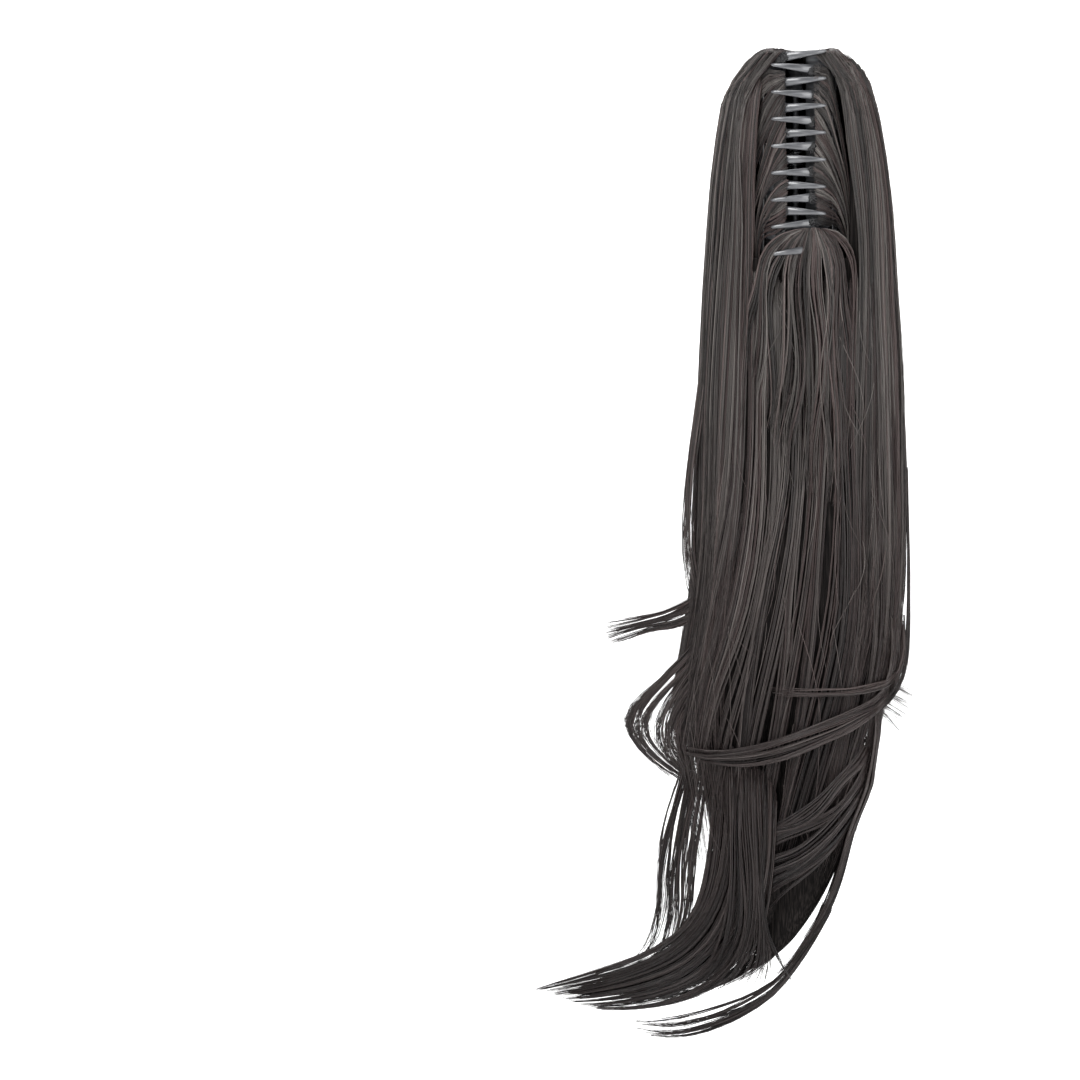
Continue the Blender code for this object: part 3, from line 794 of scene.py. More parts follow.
@dataclass
class HairSheet:
    """A layer of strands between guide curves.

    Attributes:
        name: The piece's name.
        guides: The guide curves, side by side. A point is x, z and a third number: on the front
            or the back how far it stands out of the form, and on a free sheet its depth, y.
        side: Where the sheet lies.
        count: How many strands it has.
        clumps: How they are gathered.
        points: The points along each strand.
        radius: The strands' radius.
        root: How unevenly the strands start, as a share of the length.
        tip: How unevenly they end.
        stray: How far single strands sway.
        tones: The range of the strands' own tones; a range lifted towards light paints a highlight in their
            colour.
        seed: The seed of the random numbers.
    """

    name: str
    guides: tuple[Table, ...]
    side: Side = Side.FRONT
    count: int = 400
    clumps: Clumping = field(default_factory=Clumping)
    points: int = 12
    radius: float = 0.20
    root: float = 0.05
    tip: float = 0.25
    stray: float = 0.8
    tones: tuple[float, float] = (0.0, 1.0)
    seed: int = 1

    def sheet(self, across: Array, along: Array) -> Array:
        """The sheet's points: a smooth blend of the guides, read at two parameters."""
        wide, long = 33, 64
        curves = np.stack([evenly(np.array(guide, float), long) for guide in self.guides])
        grid = spline(curves, np.linspace(0, 1, wide))
        u = np.clip(across, 0, 1) * (wide - 1)
        v = np.clip(along, 0, 1) * (long - 1)
        i = np.minimum(u.astype(int), wide - 2)
        j = np.minimum(v.astype(int), long - 2)
        a, b = (u - i)[..., None], (v - j)[..., None]
        near = grid[i, j] * (1 - b) + grid[i, j + 1] * b
        far = grid[i + 1, j] * (1 - b) + grid[i + 1, j + 1] * b
        return near * (1 - a) + far * a

    def strands(self, rng: np.random.Generator) -> Strands:
        """The sheet's strands, as paths on it with each one's own sway."""
        start = (np.arange(self.count) + rng.uniform(0, 1, self.count)) / self.count
        first = self.root * rng.uniform(0, 1, self.count)
        last = 1 - self.tip * rng.uniform(0, 1, self.count) ** 1.5
        steps = np.linspace(0, 1, self.points)
        along = first[:, None] + (last - first)[:, None] * steps
        across, height, fine, clump = self.clumps.place(start, along, rng)
        flat = self.sheet(across, along)
        phase = rng.uniform(0, 2 * math.pi, (self.count, 3))
        speed = rng.uniform(2.0, 6.0, (self.count, 1))
        grow = self.stray * smoothstep(0, 1, along) * rng.uniform(0, 1, (self.count, 1)) ** 2
        x = flat[..., 0] + grow * np.sin(speed * along + phase[:, :1])
        z = flat[..., 1] + 0.5 * grow * np.sin(speed * along + phase[:, 1:2])
        third = flat[..., 2]
        if self.side is Side.FREE:
            y = third - height + 0.6 * grow * np.sin(speed * along + phase[:, 2:])
        elif self.side is Side.FRONT:
            y = FORM.front(x, z) - third - height
        else:
            y = FORM.depth(x, z, 1) + third + height
        return Strands(np.stack([x, y, z], axis=-1), fine, clump, self.radius, self.tones)

    def build(self, material: Any) -> Any:
        """Makes the sheet's piece."""
        rng = np.random.default_rng(self.seed)
        return self.strands(rng).mesh(self.name, material, rng)


@dataclass
class FormHair:
    """Strands that come over the crown from the parting and run down the outer form.

    Attributes:
        name: The piece's name.
        side: -1 for the left lobe, 1 for the right one.
        turns: The lowest and highest angle round the lobe, in degrees.
        ends: The highest and lowest height where they end.
        count: How many strands there are.
        clumps: How they are gathered.
        points: The points along each strand.
        valley: The height of the parting.
        crest: The height that the strands rise to beside it.
        over: The share of the points that crosses the crown.
        seed: The seed of the random numbers.
    """

    name: str
    side: int
    turns: tuple[float, float]
    ends: tuple[float, float]
    count: int
    clumps: Clumping
    points: int = 18
    valley: float = 50.6
    crest: float = 53.2
    over: float = 0.11
    seed: int = 1

    def build(self, material: Any) -> Any:
        """Makes the piece: the section's angle across, the height along."""
        rng = np.random.default_rng(self.seed)
        start = (np.arange(self.count) + rng.uniform(0, 1, self.count)) / self.count
        steps = np.tile(np.linspace(0, 1, self.points), (self.count, 1))
        along = np.clip((steps - self.over) / (1 - self.over), 0, 1) ** 2.2
        across, height, fine, clump = self.clumps.place(start, along, rng)
        low, high = np.radians(self.turns)
        turn = low + (high - low) * across
        last = self.ends[0] + (self.ends[1] - self.ends[0]) * rng.uniform(0, 1, (self.count, 1))
        z = self.crest + (last - self.crest) * along
        crossing = smoothstep(0, self.over, steps)
        paths = FORM.around(self.side, turn, z, height * crossing + 0.6)
        begin = PARTING_X + self.side * rng.uniform(0, 3, (self.count, 1))
        paths[..., 0] = begin + (paths[..., 0] - begin) * crossing
        paths[..., 2] -= (self.crest - self.valley) * (1 - crossing)
        return Strands(paths, fine, clump).mesh(self.name, material, rng)


@dataclass
class Body:
    """The dark cores under the strands.

    Attributes:
        sides: The points round a lobe.
        steps: The sections down a lobe.
        inset: How far the core lies under the outer form at the top and at its lower end.
        highest: Where the core starts.
        lowest: Where the core ends.
        swing: The radii round the pin that the jaws turn in, that the teeth turn in, and of the
            mouth in front that shows the tufts.
        tongue: The radii that are left free behind the pin, by the hinge and by the finger tabs.
        floor: The height of the room's floor.
        tab_reach: How far up and down the finger tabs reach.
    """

    sides: int = 48
    steps: int = 90
    inset: tuple[float, float] = (0.8, 8.0)
    highest: float = 52.0
    lowest: float = -340.0
    swing: tuple[float, float, float] = (34.0, 38.4, 48.0)
    tongue: tuple[float, float] = (7.5, 27.5)
    floor: float = -51.0
    tab_reach: float = 24.5

    def lobe(self, side: int, material: Any) -> Any:
        """One lobe of the core: the form's sections, a little smaller."""
        along = np.linspace(0, 1, self.steps)
        z = self.highest + (self.lowest - self.highest) * along**1.3
        turn = np.linspace(0, 2 * math.pi, self.sides, endpoint=False)
        heights = np.repeat(z[:, None], self.sides, axis=1)
        angles = np.repeat(turn[None, :], self.steps, axis=0)
        inset = self.inset[0] + (self.inset[1] - self.inset[0]) * smoothstep(0.75, 1.0, along)
        rings = FORM.around(side, angles, heights, np.repeat(-inset[:, None], self.sides, axis=1))
        return new_piece(f"core_{LABELS[side]}", loft(rings), material)

    def room(self) -> Surface:
        """The room that the jaws turn in: a radius round the pin for each angle and height.

        Its ends close on small round rings, because its outline isn't convex.
        """
        edges = [33.9, 34.1, 145.9, 146.1, -48.9, -49.1, -130.9, -131.1]
        degrees = np.sort(np.concatenate([np.arange(-180, 180, 5.0), edges]))
        behind = (degrees > 34) & (degrees < 146)
        front = (degrees < -36) & (degrees > -144)
        mouth = (degrees < -49) & (degrees > -131)
        around = np.where(mouth, self.swing[2], np.where(front, self.swing[1], self.swing[0]))
        small = np.full_like(around, 0.5)
        rows = [np.where(behind, self.tongue[int(level in (2, 3))], around) for level in range(6)]
        radii = np.stack([small, *rows, small])
        tabs = self.tab_reach
        heights = np.array([self.floor, self.floor, -tabs, 0.1 - tabs, tabs - 0.1, tabs, 90.0, 90.0])
        turn = np.radians(degrees)
        z = np.repeat(heights[:, None], len(turn), axis=1)
        return loft(np.stack([radii * np.cos(turn), PIN_Y + radii * np.sin(turn), z], axis=-1))

    def cut(self, piece: Any) -> None:
        """Cuts the room out of a core and keeps the result as a plain mesh."""
        cutter = new_piece("room", self.room(), piece.data.materials[0])
        modifier = piece.modifiers.new("room", "BOOLEAN")
        modifier.operation = "DIFFERENCE"
        modifier.solver = "EXACT"
        modifier.object = cutter
        bpy.context.view_layer.update()
        evaluated = piece.evaluated_get(bpy.context.evaluated_depsgraph_get())
        mesh = bpy.data.meshes.new_from_object(evaluated)
        piece.modifiers.clear()
        piece.data = mesh
        bpy.data.objects.remove(cutter, do_unlink=True)

    def build(self, material: Any) -> list[Any]:
        """Makes both lobes, opens them round the clip and lets them stand for the hair's solids."""
        made = [self.lobe(side, material) for side in (-1, 1)]
        for piece in made:
            self.cut(piece)
            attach(piece, ROOT)
        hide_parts("outer_curtain")
        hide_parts("inner_fall")
        LOG.info("cores: %d pieces", len(made))
        return made


@dataclass
class LockCore:
    """A dark core for a lock that leaves the body, with elliptic sections along a path.

    Attributes:
        name: The piece's name.
        rows: Rows of x, y, z, half width and half thickness; the flat side faces the front.
    """

    name: str
    rows: Table

    def build(self, material: Any) -> Any:
        """Makes the lock: an ellipse carried along the path."""
        path = spline(np.array(self.rows, float), np.linspace(0, 1, 6 * len(self.rows)))
        along = np.gradient(path[:, :3], axis=0)
        along /= np.linalg.norm(along, axis=1, keepdims=True)
        facing = np.array([0.0, -1.0, 0.0]) - along * (along @ np.array([0.0, -1.0, 0.0]))[:, None]
        facing /= np.linalg.norm(facing, axis=1, keepdims=True)
        beside = np.cross(along, facing)
        turn = np.linspace(0, 2 * math.pi, 20, endpoint=False)
        rings = (
            path[:, None, :3]
            + np.cos(turn)[None, :, None] * path[:, None, 3:4] * beside[:, None]
            + np.sin(turn)[None, :, None] * path[:, None, 4:5] * facing[:, None]
        )
        piece = new_piece(self.name, loft(rings), material)
        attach(piece, ROOT)
        return piece


LOCK_CORES = (
    LockCore(
        "core_tail",
        (
            (-16, 11, -320, 24, 8), (-20, 10, -350, 20, 7), (-34, 9, -380, 15, 6),
            (-62, 8, -400, 8, 4), (-94, 8, -409, 3.5, 2), (-112, 8, -411, 0.5, 0.5),
        ),
    ),
    LockCore(
        "core_right_edge",
        (
            (12, 11, -290, 24, 9), (8, 11, -325, 20, 8), (1, 11, -355, 15, 7),
            (-7, 11, -378, 9, 5), (-15, 11, -392, 4, 3), (-20, 11, -399, 0.5, 0.5),
        ),
    ),
)

BROAD = Clumping(count=20, fine=110, ridge=0.8, pull=0.30, wander=0.5, depth=1.8)
PANEL = Clumping(count=8, fine=28, ridge=0.8, pull=0.20, wander=0.35, depth=1.6)
WISPY = Clumping(count=16, fine=60, ridge=0.4, pull=0.2, wander=0.9, depth=2.5)

FORM_HAIR = (
    FormHair("left_side_hair", -1, (92, 256), (-235, -350), 850, BROAD, points=17, seed=11),
    FormHair("right_side_hair", 1, (-76, 88), (-235, -352), 850, BROAD, points=17, seed=12),
)

PANELS = (
    HairSheet(
        "left_panel",
        (
            ((4.5, 50.6, 0.6), (1.8, 51.6, 0.7), (-6.7, 53.4, 0.8), (-12.6, 52.4, 1), (-18.5, 49, 1),
             (-23.6, 44.8, 1), (-29.2, 38, 1), (-32.6, 32, 1), (-36, 18, 1), (-38.5, 4, 1), (-40.5, -12, 1),
             (-43, -60, 1), (-46.5, -122, 1), (-47.5, -162, 1), (-48, -200, 1), (-51, -228, 1)),
            ((4.0, 50.4, 0.6), (-3, 51.4, 0.8), (-10, 50.6, 1), (-18, 45.5, 1), (-25, 35, 1.2),
             (-30.5, 17, 1.2), (-34, -15, 1.2), (-36.5, -60, 1.2), (-39, -122, 1), (-42, -170, 1),
             (-49, -218, 1), (-58, -252, 1)),
            ((3.5, 50.0, 0.6), (-3.5, 50.2, 0.8), (-10, 48.4, 1), (-16, 43.5, 1.5), (-22, 35, 2.0),
             (-27.5, 17, 2.2), (-28.5, -5, 2.2), (-26, -32, 2.2), (-26.5, -70, 1.5), (-28.5, -125, 1),
             (-32, -175, 1), (-41, -225, 1), (-53, -262, 1)),
        ),
        count=700, clumps=PANEL, points=15, seed=21,
    ),
    HairSheet(
        "right_panel",
        (
            ((5.8, 49.2, 0.6), (10, 49.4, 0.8), (14.5, 46, 1.2), (18.5, 38, 1.8), (21.5, 25, 2.2),
             (23.8, 5, 2.2), (26.5, -14, 2.2), (29, -34, 2.2), (30, -64, 1.5), (28, -110, 1),
             (26, -160, 1), (25, -205, 1)),
            ((5.5, 50.0, 0.6), (12, 50.8, 0.8), (19, 47.6, 1), (25.5, 39.5, 1.2), (31, 25, 1.2),
             (35, 0, 1.2), (38, -34, 1.2), (39.5, -75, 1), (40.5, -125, 1), (40, -180, 1),
             (38, -235, 1)),
            ((5.6, 50.8, 0.6), (9, 52.4, 0.7), (15.3, 52.9, 0.8), (21.2, 51.4, 1), (26.2, 48.2, 1),
             (31.3, 43, 1), (35.2, 37, 1), (39, 25, 1), (42.5, 8, 1), (46.8, -20, 1), (50.2, -75, 1),
             (54, -150, 1), (53.8, -180, 1), (53, -228, 1), (46, -262, 1)),
        ),
        count=700, clumps=PANEL, points=15, seed=22,
    ),
)

SHEETS = (
    HairSheet(
        "bottom_fan",
        (
            ((3.4, -37, -21.6), (-3, -38, -21.6), (-9, -40, -20.8), (-14, -43, -18.9), (-18.5, -47, -17.2),
             (-21.5, -54, -16.6), (-24, -68, -16.2), (-26, -100, -14.8)),
            ((3.6, -37, -21.6), (0, -38.5, -21.6), (-4, -41, -21), (-8, -45.3, -16.8), (-10.5, -49, -16.2),
             (-13, -55, -17.4), (-15, -66, -17), (-16, -90, -16), (-17, -130, -14.5)),
            ((4.0, -37, -21.7), (3, -39, -21.7), (1.5, -42, -21), (0.5, -45.6, -16.8), (-0.5, -49.5, -16.2),
             (-1.5, -56, -18), (-3, -86, -16.2), (-4, -120, -15), (-5, -159, -13.2)),
            ((7, -36.5, -21.6), (8, -41, -21.5), (9, -48, -20.8), (9.5, -62, -18), (10, -91, -16),
             (9.5, -130, -14.6), (8, -169, -12.8)),
            ((10, -37, -20.8), (13, -39.5, -20.2), (17, -46, -18.6), (20, -60, -17.3), (21, -91, -15.8),
             (21, -130, -14.4), (20, -169, -12.6)),
            ((12, -37, -20.2), (17, -37.5, -18.8), (23, -41.5, -16.8), (27.5, -52, -16.4), (29, -75, -16),
             (30, -110, -14.8)),
        ),
        side=Side.FREE, count=540,
        clumps=Clumping(count=11, fine=56, ridge=0.5, pull=0.25, wander=0.4, depth=1.2),
        points=13, root=0.02, radius=0.18, seed=23,
    ),
    HairSheet(
        "main_fall",
        (
            ((-31, -56, 1), (-33, -130, 1), (-37, -179, 1), (-45, -228, 1), (-55, -268, 1), (-59, -290, 1)),
            ((-17, -57, 1), (-18, -130, 1), (-22, -179, 1), (-31, -228, 1), (-43, -272, 1), (-48, -312, 1)),
            ((-3, -60, 1), (-4, -130, 1), (-6, -179, 1), (-13, -228, 1), (-23, -280, 1), (-32, -335, 1)),
            ((10, -60, 1), (10, -130, 1), (9, -179, 1), (5, -228, 1), (-4, -280, 1), (-16, -340, 1)),
            ((23, -60, 1), (25, -130, 1), (25, -179, 1), (22, -228, 1), (13, -280, 1), (-1, -340, 1)),
            ((38, -60, 1), (41, -130, 1), (43, -179, 1), (42, -223, 1), (36, -270, 1), (24, -318, 1)),
        ),
        count=1200, clumps=Clumping(count=15, fine=90, ridge=0.7, pull=0.15, wander=0.4, depth=1.6),
        root=0.08, tip=0.20, seed=24,
    ),
    HairSheet(
        "sweep_band",
        (
            ((45.5, -225, 2), (46, -245, 3), (41, -263, 4), (26, -271.5, 5), (9.3, -278.3, 5.5),
             (-12.7, -286.5, 5.5), (-35.5, -291, 4.5), (-53, -290, 3)),
            ((49, -225, 2), (49.5, -246, 3), (43.5, -265.5, 4), (25, -275.5, 5.5), (4, -284, 6),
             (-21.6, -291.6, 6), (-44.6, -294, 4.5), (-56, -292, 3)),
            ((52, -225, 2), (52, -248, 3), (45, -268, 4), (29, -281, 5), (13.5, -287.5, 5.5),
             (-6.5, -295.5, 5.5), (-27, -299, 4.5), (-47, -297, 3)),
        ),
        count=340, clumps=Clumping(count=5, fine=20, ridge=0.8, pull=0.35, wander=0.4, depth=1.8),
        # Painted highlight: this tone range, lifted towards light, makes the raised band's strands lighter.
        points=15, root=0.25, stray=1.4, tones=(0.25, 1.1), seed=25,
    ),
    HairSheet(
        "upper_band",
        (
            ((51, -225, 3), (51.5, -243, 4), (46.5, -255, 4.5), (35.3, -258.7, 5), (23.5, -261.2, 5),
             (3.4, -261.2, 5), (-13, -258, 4)),
            ((53, -225, 3), (53, -245, 4), (48, -258, 4.5), (35.3, -263, 5), (23.5, -264.6, 5),
             (1.5, -265.6, 5), (-13, -265, 4)),
        ),
        count=80, clumps=Clumping(count=3, fine=10, ridge=0.5, pull=0.5, wander=0.5, depth=1.0),
        # Painted highlight: this tone range, lifted towards light, makes the raised band's strands lighter.
        points=14, root=0.2, tip=0.45, stray=2.0, tones=(0.4, 1.2), seed=26,
    ),
    HairSheet(
        "right_loop",
        (
            ((53.5, -150, 8), (54.5, -205, 8), (53.8, -240, 7), (50.5, -256, 4), (43, -268, 0),
             (30, -276, -7)),
            ((55, -150, 13), (56, -205, 13), (55, -242, 11), (51.5, -259, 7), (44, -270, 2), (31, -279, -6)),
        ),
        side=Side.FREE, count=80,
        clumps=Clumping(count=5, fine=12, ridge=0.4, pull=0.3, wander=0.6, depth=1.0),
        points=14, root=0.3, tip=0.3, stray=1.2, seed=40,
    ),
    HairSheet(
        "side_sweep",
        (
            ((34, -284, 1), (26, -297, 2), (12, -311, 2.5), (-4, -321, 2), (-19, -328, 1.5), (-28, -333, 1)),
            ((38, -292, 1.5), (31, -307, 2.5), (18, -322, 3), (2, -333, 3), (-13, -341, 2), (-24, -349, 1)),
            ((38, -300, 1.5), (31, -317, 2.5), (19, -333, 3), (4, -346, 3.5), (-10, -354, 2.5),
             (-22, -362, 1)),
            ((34, -312, 1.5), (27, -328, 2.5), (16, -343, 3), (4, -353, 3.5), (-8, -362, 3), (-17, -374, 2)),
        ),
        count=560, clumps=Clumping(count=9, fine=44, ridge=0.9, pull=0.35, wander=0.5, depth=1.8),
        points=13, root=0.12, stray=1.2, seed=27,
    ),
    HairSheet(
        "right_edge",
        (
            ((38, -262, -2), (38, -283, -3), (36, -298, -3), (33, -312, -3), (25, -332, -3), (19.5, -352, -2),
             (13.5, -368, 0), (5.5, -382, 3), (-4, -396, 6), (-11, -402, 8)),
            ((42, -262, 8), (41.5, -281, 7), (39, -297, 7), (37, -310, 6), (28.5, -331, 6), (22.8, -352, 6),
             (16.8, -368.5, 6), (8.6, -382.4, 7), (-1.2, -397.4, 8), (-8, -404.5, 9)),
            ((38, -262, 17), (38, -283, 16), (35.5, -298, 15), (33, -312, 14), (25, -332, 13),
             (19.5, -352, 12), (13.5, -368, 11), (5.5, -382, 10), (-4, -396, 10), (-11, -402, 10)),
        ),
        side=Side.FREE, count=270,
        clumps=Clumping(count=7, fine=24, ridge=0.4, pull=0.3, wander=0.4, depth=1.0),
        points=15, root=0.15, stray=1.2, seed=28,
    ),
    HairSheet(
        "tail_front",
        (
            ((-44, -288, -2), (-41.5, -312, -2), (-43, -335, -1), (-45.5, -352, 0), (-50, -367, 1),
             (-59, -380, 3), (-76, -391.5, 5), (-97, -399.5, 7), (-122, -407.5, 8), (-129, -409.8, 8)),
            ((-36, -288, -8), (-35, -315, -7), (-36.5, -340, -6), (-40, -360, -4), (-48, -377, -2),
             (-62, -391, 1), (-82, -400, 4), (-104, -406, 6), (-124, -410, 8)),
            ((-27, -290, -10), (-27, -318, -9), (-29, -343, -8), (-33, -364, -6), (-42, -384, -3),
             (-57, -398, 0), (-77, -406.5, 3), (-98, -411.5, 6), (-116, -413.5, 7)),
            ((-18, -298, -10), (-18, -325, -10), (-20, -350, -8), (-25, -372, -5), (-35, -391, -2),
             (-51, -405, 1), (-70, -413, 4), (-90, -416.5, 6), (-106, -417, 7)),
            ((-10, -312, -9), (-11, -335, -9), (-13, -357, -7), (-17, -378, -4), (-26, -396, 0),
             (-40, -408, 3), (-56, -415.5, 5), (-76, -419.5, 7), (-94, -420, 8)),
        ),
        side=Side.FREE, count=960,
        clumps=Clumping(count=14, fine=70, ridge=0.8, pull=0.35, wander=0.3, depth=3.0),
        points=15, root=0.12, tip=0.28, stray=1.2, seed=29,
    ),
    HairSheet(
        "tail_column",
        (
            ((-34, -300, -11), (-33, -330, -11), (-33, -355, -9), (-37, -377, -6), (-46, -395, -2),
             (-60, -407, 2)),
            ((-27, -300, -12), (-26, -330, -12), (-26, -357, -11), (-27, -380, -7), (-32, -398, -3),
             (-42, -410, 1)),
            ((-21, -300, -12), (-20, -330, -12), (-20, -357, -11), (-19, -380, -7), (-19, -397, -3),
             (-22, -407, 1)),
            ((-16, -302, -11), (-16, -332, -11), (-17, -357, -10), (-15, -378, -6), (-9, -394, -2),
             (-1, -407, 2)),
        ),
        side=Side.FREE, count=320,
        clumps=Clumping(count=6, fine=24, ridge=0.8, pull=0.3, wander=0.4, depth=2.0),
        root=0.2, stray=1.4, seed=41,
    ),
    HairSheet(
        "tail_back",
        (
            ((-50, -290, 18), (-44, -325, 18), (-45, -356, 17), (-52, -375, 15), (-65, -387, 13),
             (-87, -397, 11), (-111, -405, 10), (-126, -409, 9)),
            ((-28, -290, 26), (-26, -330, 24), (-27, -362, 21), (-36, -385, 18), (-55, -400, 15),
             (-78, -408, 12), (-103, -412, 10)),
            ((-5, -295, 27), (-6, -335, 23), (-8, -364, 19), (-16, -388, 16), (-32, -403, 14),
             (-54, -412, 12), (-74, -417, 10)),
            ((22, -300, 24), (17, -332, 20), (10, -357, 17), (0, -380, 14), (-14, -398, 12), (-32, -408, 10)),
        ),
        side=Side.FREE, count=400,
        clumps=Clumping(count=12, fine=50, ridge=-1.0, groove=0.5, pull=0.4, wander=0.35, depth=-3.0),
        root=0.2, tip=0.30, stray=1.4, seed=30,
    ),
    HairSheet(
        "tail_loop",
        (
            ((14, -364, 6), (5.5, -383, 6), (-5, -399, 7), (-17, -409, 7), (-34, -416.5, 8), (-56, -422, 8),
             (-80, -424, 9)),
            ((17, -368, 8), (8.5, -383, 8), (-2, -399, 8), (-13, -411.5, 8), (-29, -421, 8), (-47, -427, 8),
             (-64, -430, 9), (-80, -428, 9)),
            ((18, -370, 9), (9.5, -385, 9), (-0.5, -400, 9), (-11, -413, 9), (-25, -423, 9), (-42, -430, 9),
             (-60, -433, 9), (-73, -432.5, 9)),
        ),
        side=Side.FREE, count=210,
        clumps=Clumping(count=9, fine=30, ridge=0.5, pull=0.35, wander=0.9, depth=3.0),
        points=14, root=0.15, tip=0.35, stray=1.8, seed=31,
    ),
    HairSheet(
        "left_flick",
        (
            ((-37, -165, -7), (-41, -190, -4), (-47, -211, 1), (-62, -222, 10), (-78, -227, 16),
             (-93, -229, 20)),
            ((-31, -168, -9), (-36, -195, -7), (-41, -214, -3), (-58.5, -226, 8), (-75, -230.5, 15),
             (-94, -236, 20)),
            ((-24, -172, -10), (-28, -200, -9), (-34, -218, -7), (-54.5, -231, 5), (-71.5, -234, 13),
             (-90, -240, 19)),
        ),
        side=Side.FREE, count=380,
        clumps=Clumping(count=8, fine=36, ridge=0.6, pull=0.45, wander=0.4, depth=2.5),
        points=14, root=0.15, tip=0.38, stray=2.0, seed=32,
    ),
    HairSheet(
        "left_curl",
        (
            ((-34, -214, -6), (-49, -237, -2), (-67, -256, 3), (-80.5, -269, 7), (-84.5, -279, 10),
             (-79, -289, 12), (-69, -299, 13), (-55, -309, 13)),
            ((-32, -218, -8), (-44, -239, -5), (-60, -258, 0), (-71, -271, 3), (-75, -282, 6), (-70, -292, 8),
             (-60, -301, 10), (-48, -309, 10)),
            ((-28, -222, -9), (-39, -242, -8), (-52, -260, -4), (-60, -275, -1), (-62, -287, 2),
             (-57, -299, 4), (-47, -311, 5)),
            ((-22, -224, -10), (-31, -244, -9), (-42, -262, -7), (-51, -278, -4), (-54, -292, -1),
             (-49, -308, 2)),
        ),
        side=Side.FREE, count=330, clumps=WISPY, points=15, root=0.12, stray=2.2, seed=33,
    ),
    HairSheet(
        "left_wisps",
        (
            ((-54, -292, 6), (-63, -320, 6), (-68.5, -345, 7), (-69.5, -368, 8), (-73, -385, 9),
             (-82, -397, 9)),
            ((-51, -295, 3), (-58, -323, 3), (-62.5, -350, 4), (-63, -372, 5), (-67, -388, 7),
             (-76, -399, 8)),
            ((-47, -298, 0), (-52, -325, 1), (-56, -350, 2), (-57.5, -372, 3), (-62, -390, 5),
             (-71, -401, 7)),
            ((-43, -302, -3), (-47, -330, -1), (-50, -352, 0), (-52.5, -372, 2), (-58, -389, 4),
             (-68, -400, 6)),
        ),
        side=Side.FREE, count=240,
        clumps=Clumping(count=18, fine=60, ridge=0.4, pull=0.25, wander=0.9, depth=3.0),
        points=11, root=0.2, tip=0.40, stray=2.2, seed=34,
    ),
    HairSheet(
        "left_loose",
        (
            ((-43, -60, 8), (-48, -110, 8), (-54, -150, 7), (-56, -180, 6), (-54, -205, 5), (-48, -226, 3)),
            ((-42, -70, 3), (-45, -115, 3), (-49, -152, 2), (-50.5, -182, 1), (-49, -205, 0),
             (-43, -224, -2)),
        ),
        side=Side.FREE, count=110,
        clumps=Clumping(count=9, fine=24, ridge=0.4, pull=0.6, wander=0.8, depth=2.5),
        points=11, root=0.3, tip=0.4, stray=1.8, seed=35,
    ),
    HairSheet(
        "back_sweep",
        (
            ((-42, -170, 1), (-30, -205, 2.5), (-4, -231, 3), (26, -248, 3), (46, -256, 2), (58, -262, 2)),
            ((-40, -180, 1.5), (-26, -214, 3.5), (0, -240, 4), (26, -257, 3.5), (45, -266, 2.5),
             (56, -273, 2)),
            ((-38, -190, 1), (-22, -224, 2.5), (4, -250, 3), (26, -266, 2.5), (42, -276, 2), (50, -285, 2)),
        ),
        side=Side.BACK, count=320,
        clumps=Clumping(count=7, fine=34, ridge=0.9, pull=0.5, wander=0.5, depth=1.8),
        root=0.15, tip=0.3, stray=1.6, seed=37,
    ),
    HairSheet(
        "back_curl",
        (
            ((-54, -238, 1), (-36, -270, 2.5), (-12, -288, 3), (12, -296, 2.5), (33, -297, 2)),
            ((-50, -252, 1), (-32, -284, 2.5), (-10, -302, 3), (14, -311, 2.5), (30, -314, 2)),
        ),
        side=Side.BACK, count=220,
        clumps=Clumping(count=5, fine=24, ridge=0.8, pull=0.5, wander=0.5, depth=1.8),
        root=0.15, tip=0.3, stray=1.6, seed=38,
    ),
    HairSheet(
        "back_fall",
        (
            ((-30, 40, 1), (-34, -60, 1), (-36, -140, 1), (-40, -200, 1), (-50, -262, 1), (-44, -320, 1)),
            ((-8, 47, 1), (-8, -60, 1), (-9, -140, 1), (-14, -210, 1), (-24, -275, 1), (-28, -335, 1)),
            ((14, 47, 1), (15, -60, 1), (15, -140, 1), (11, -210, 1), (0, -275, 1), (-8, -335, 1)),
            ((33, 40, 1), (40, -60, 1), (42, -140, 1), (40, -210, 1), (30, -270, 1), (18, -320, 1)),
        ),
        side=Side.BACK, count=600,
        clumps=Clumping(count=18, fine=70, ridge=0.8, pull=0.3, wander=0.5, depth=1.6),
        root=0.10, tip=0.35, seed=39,
    ),
)

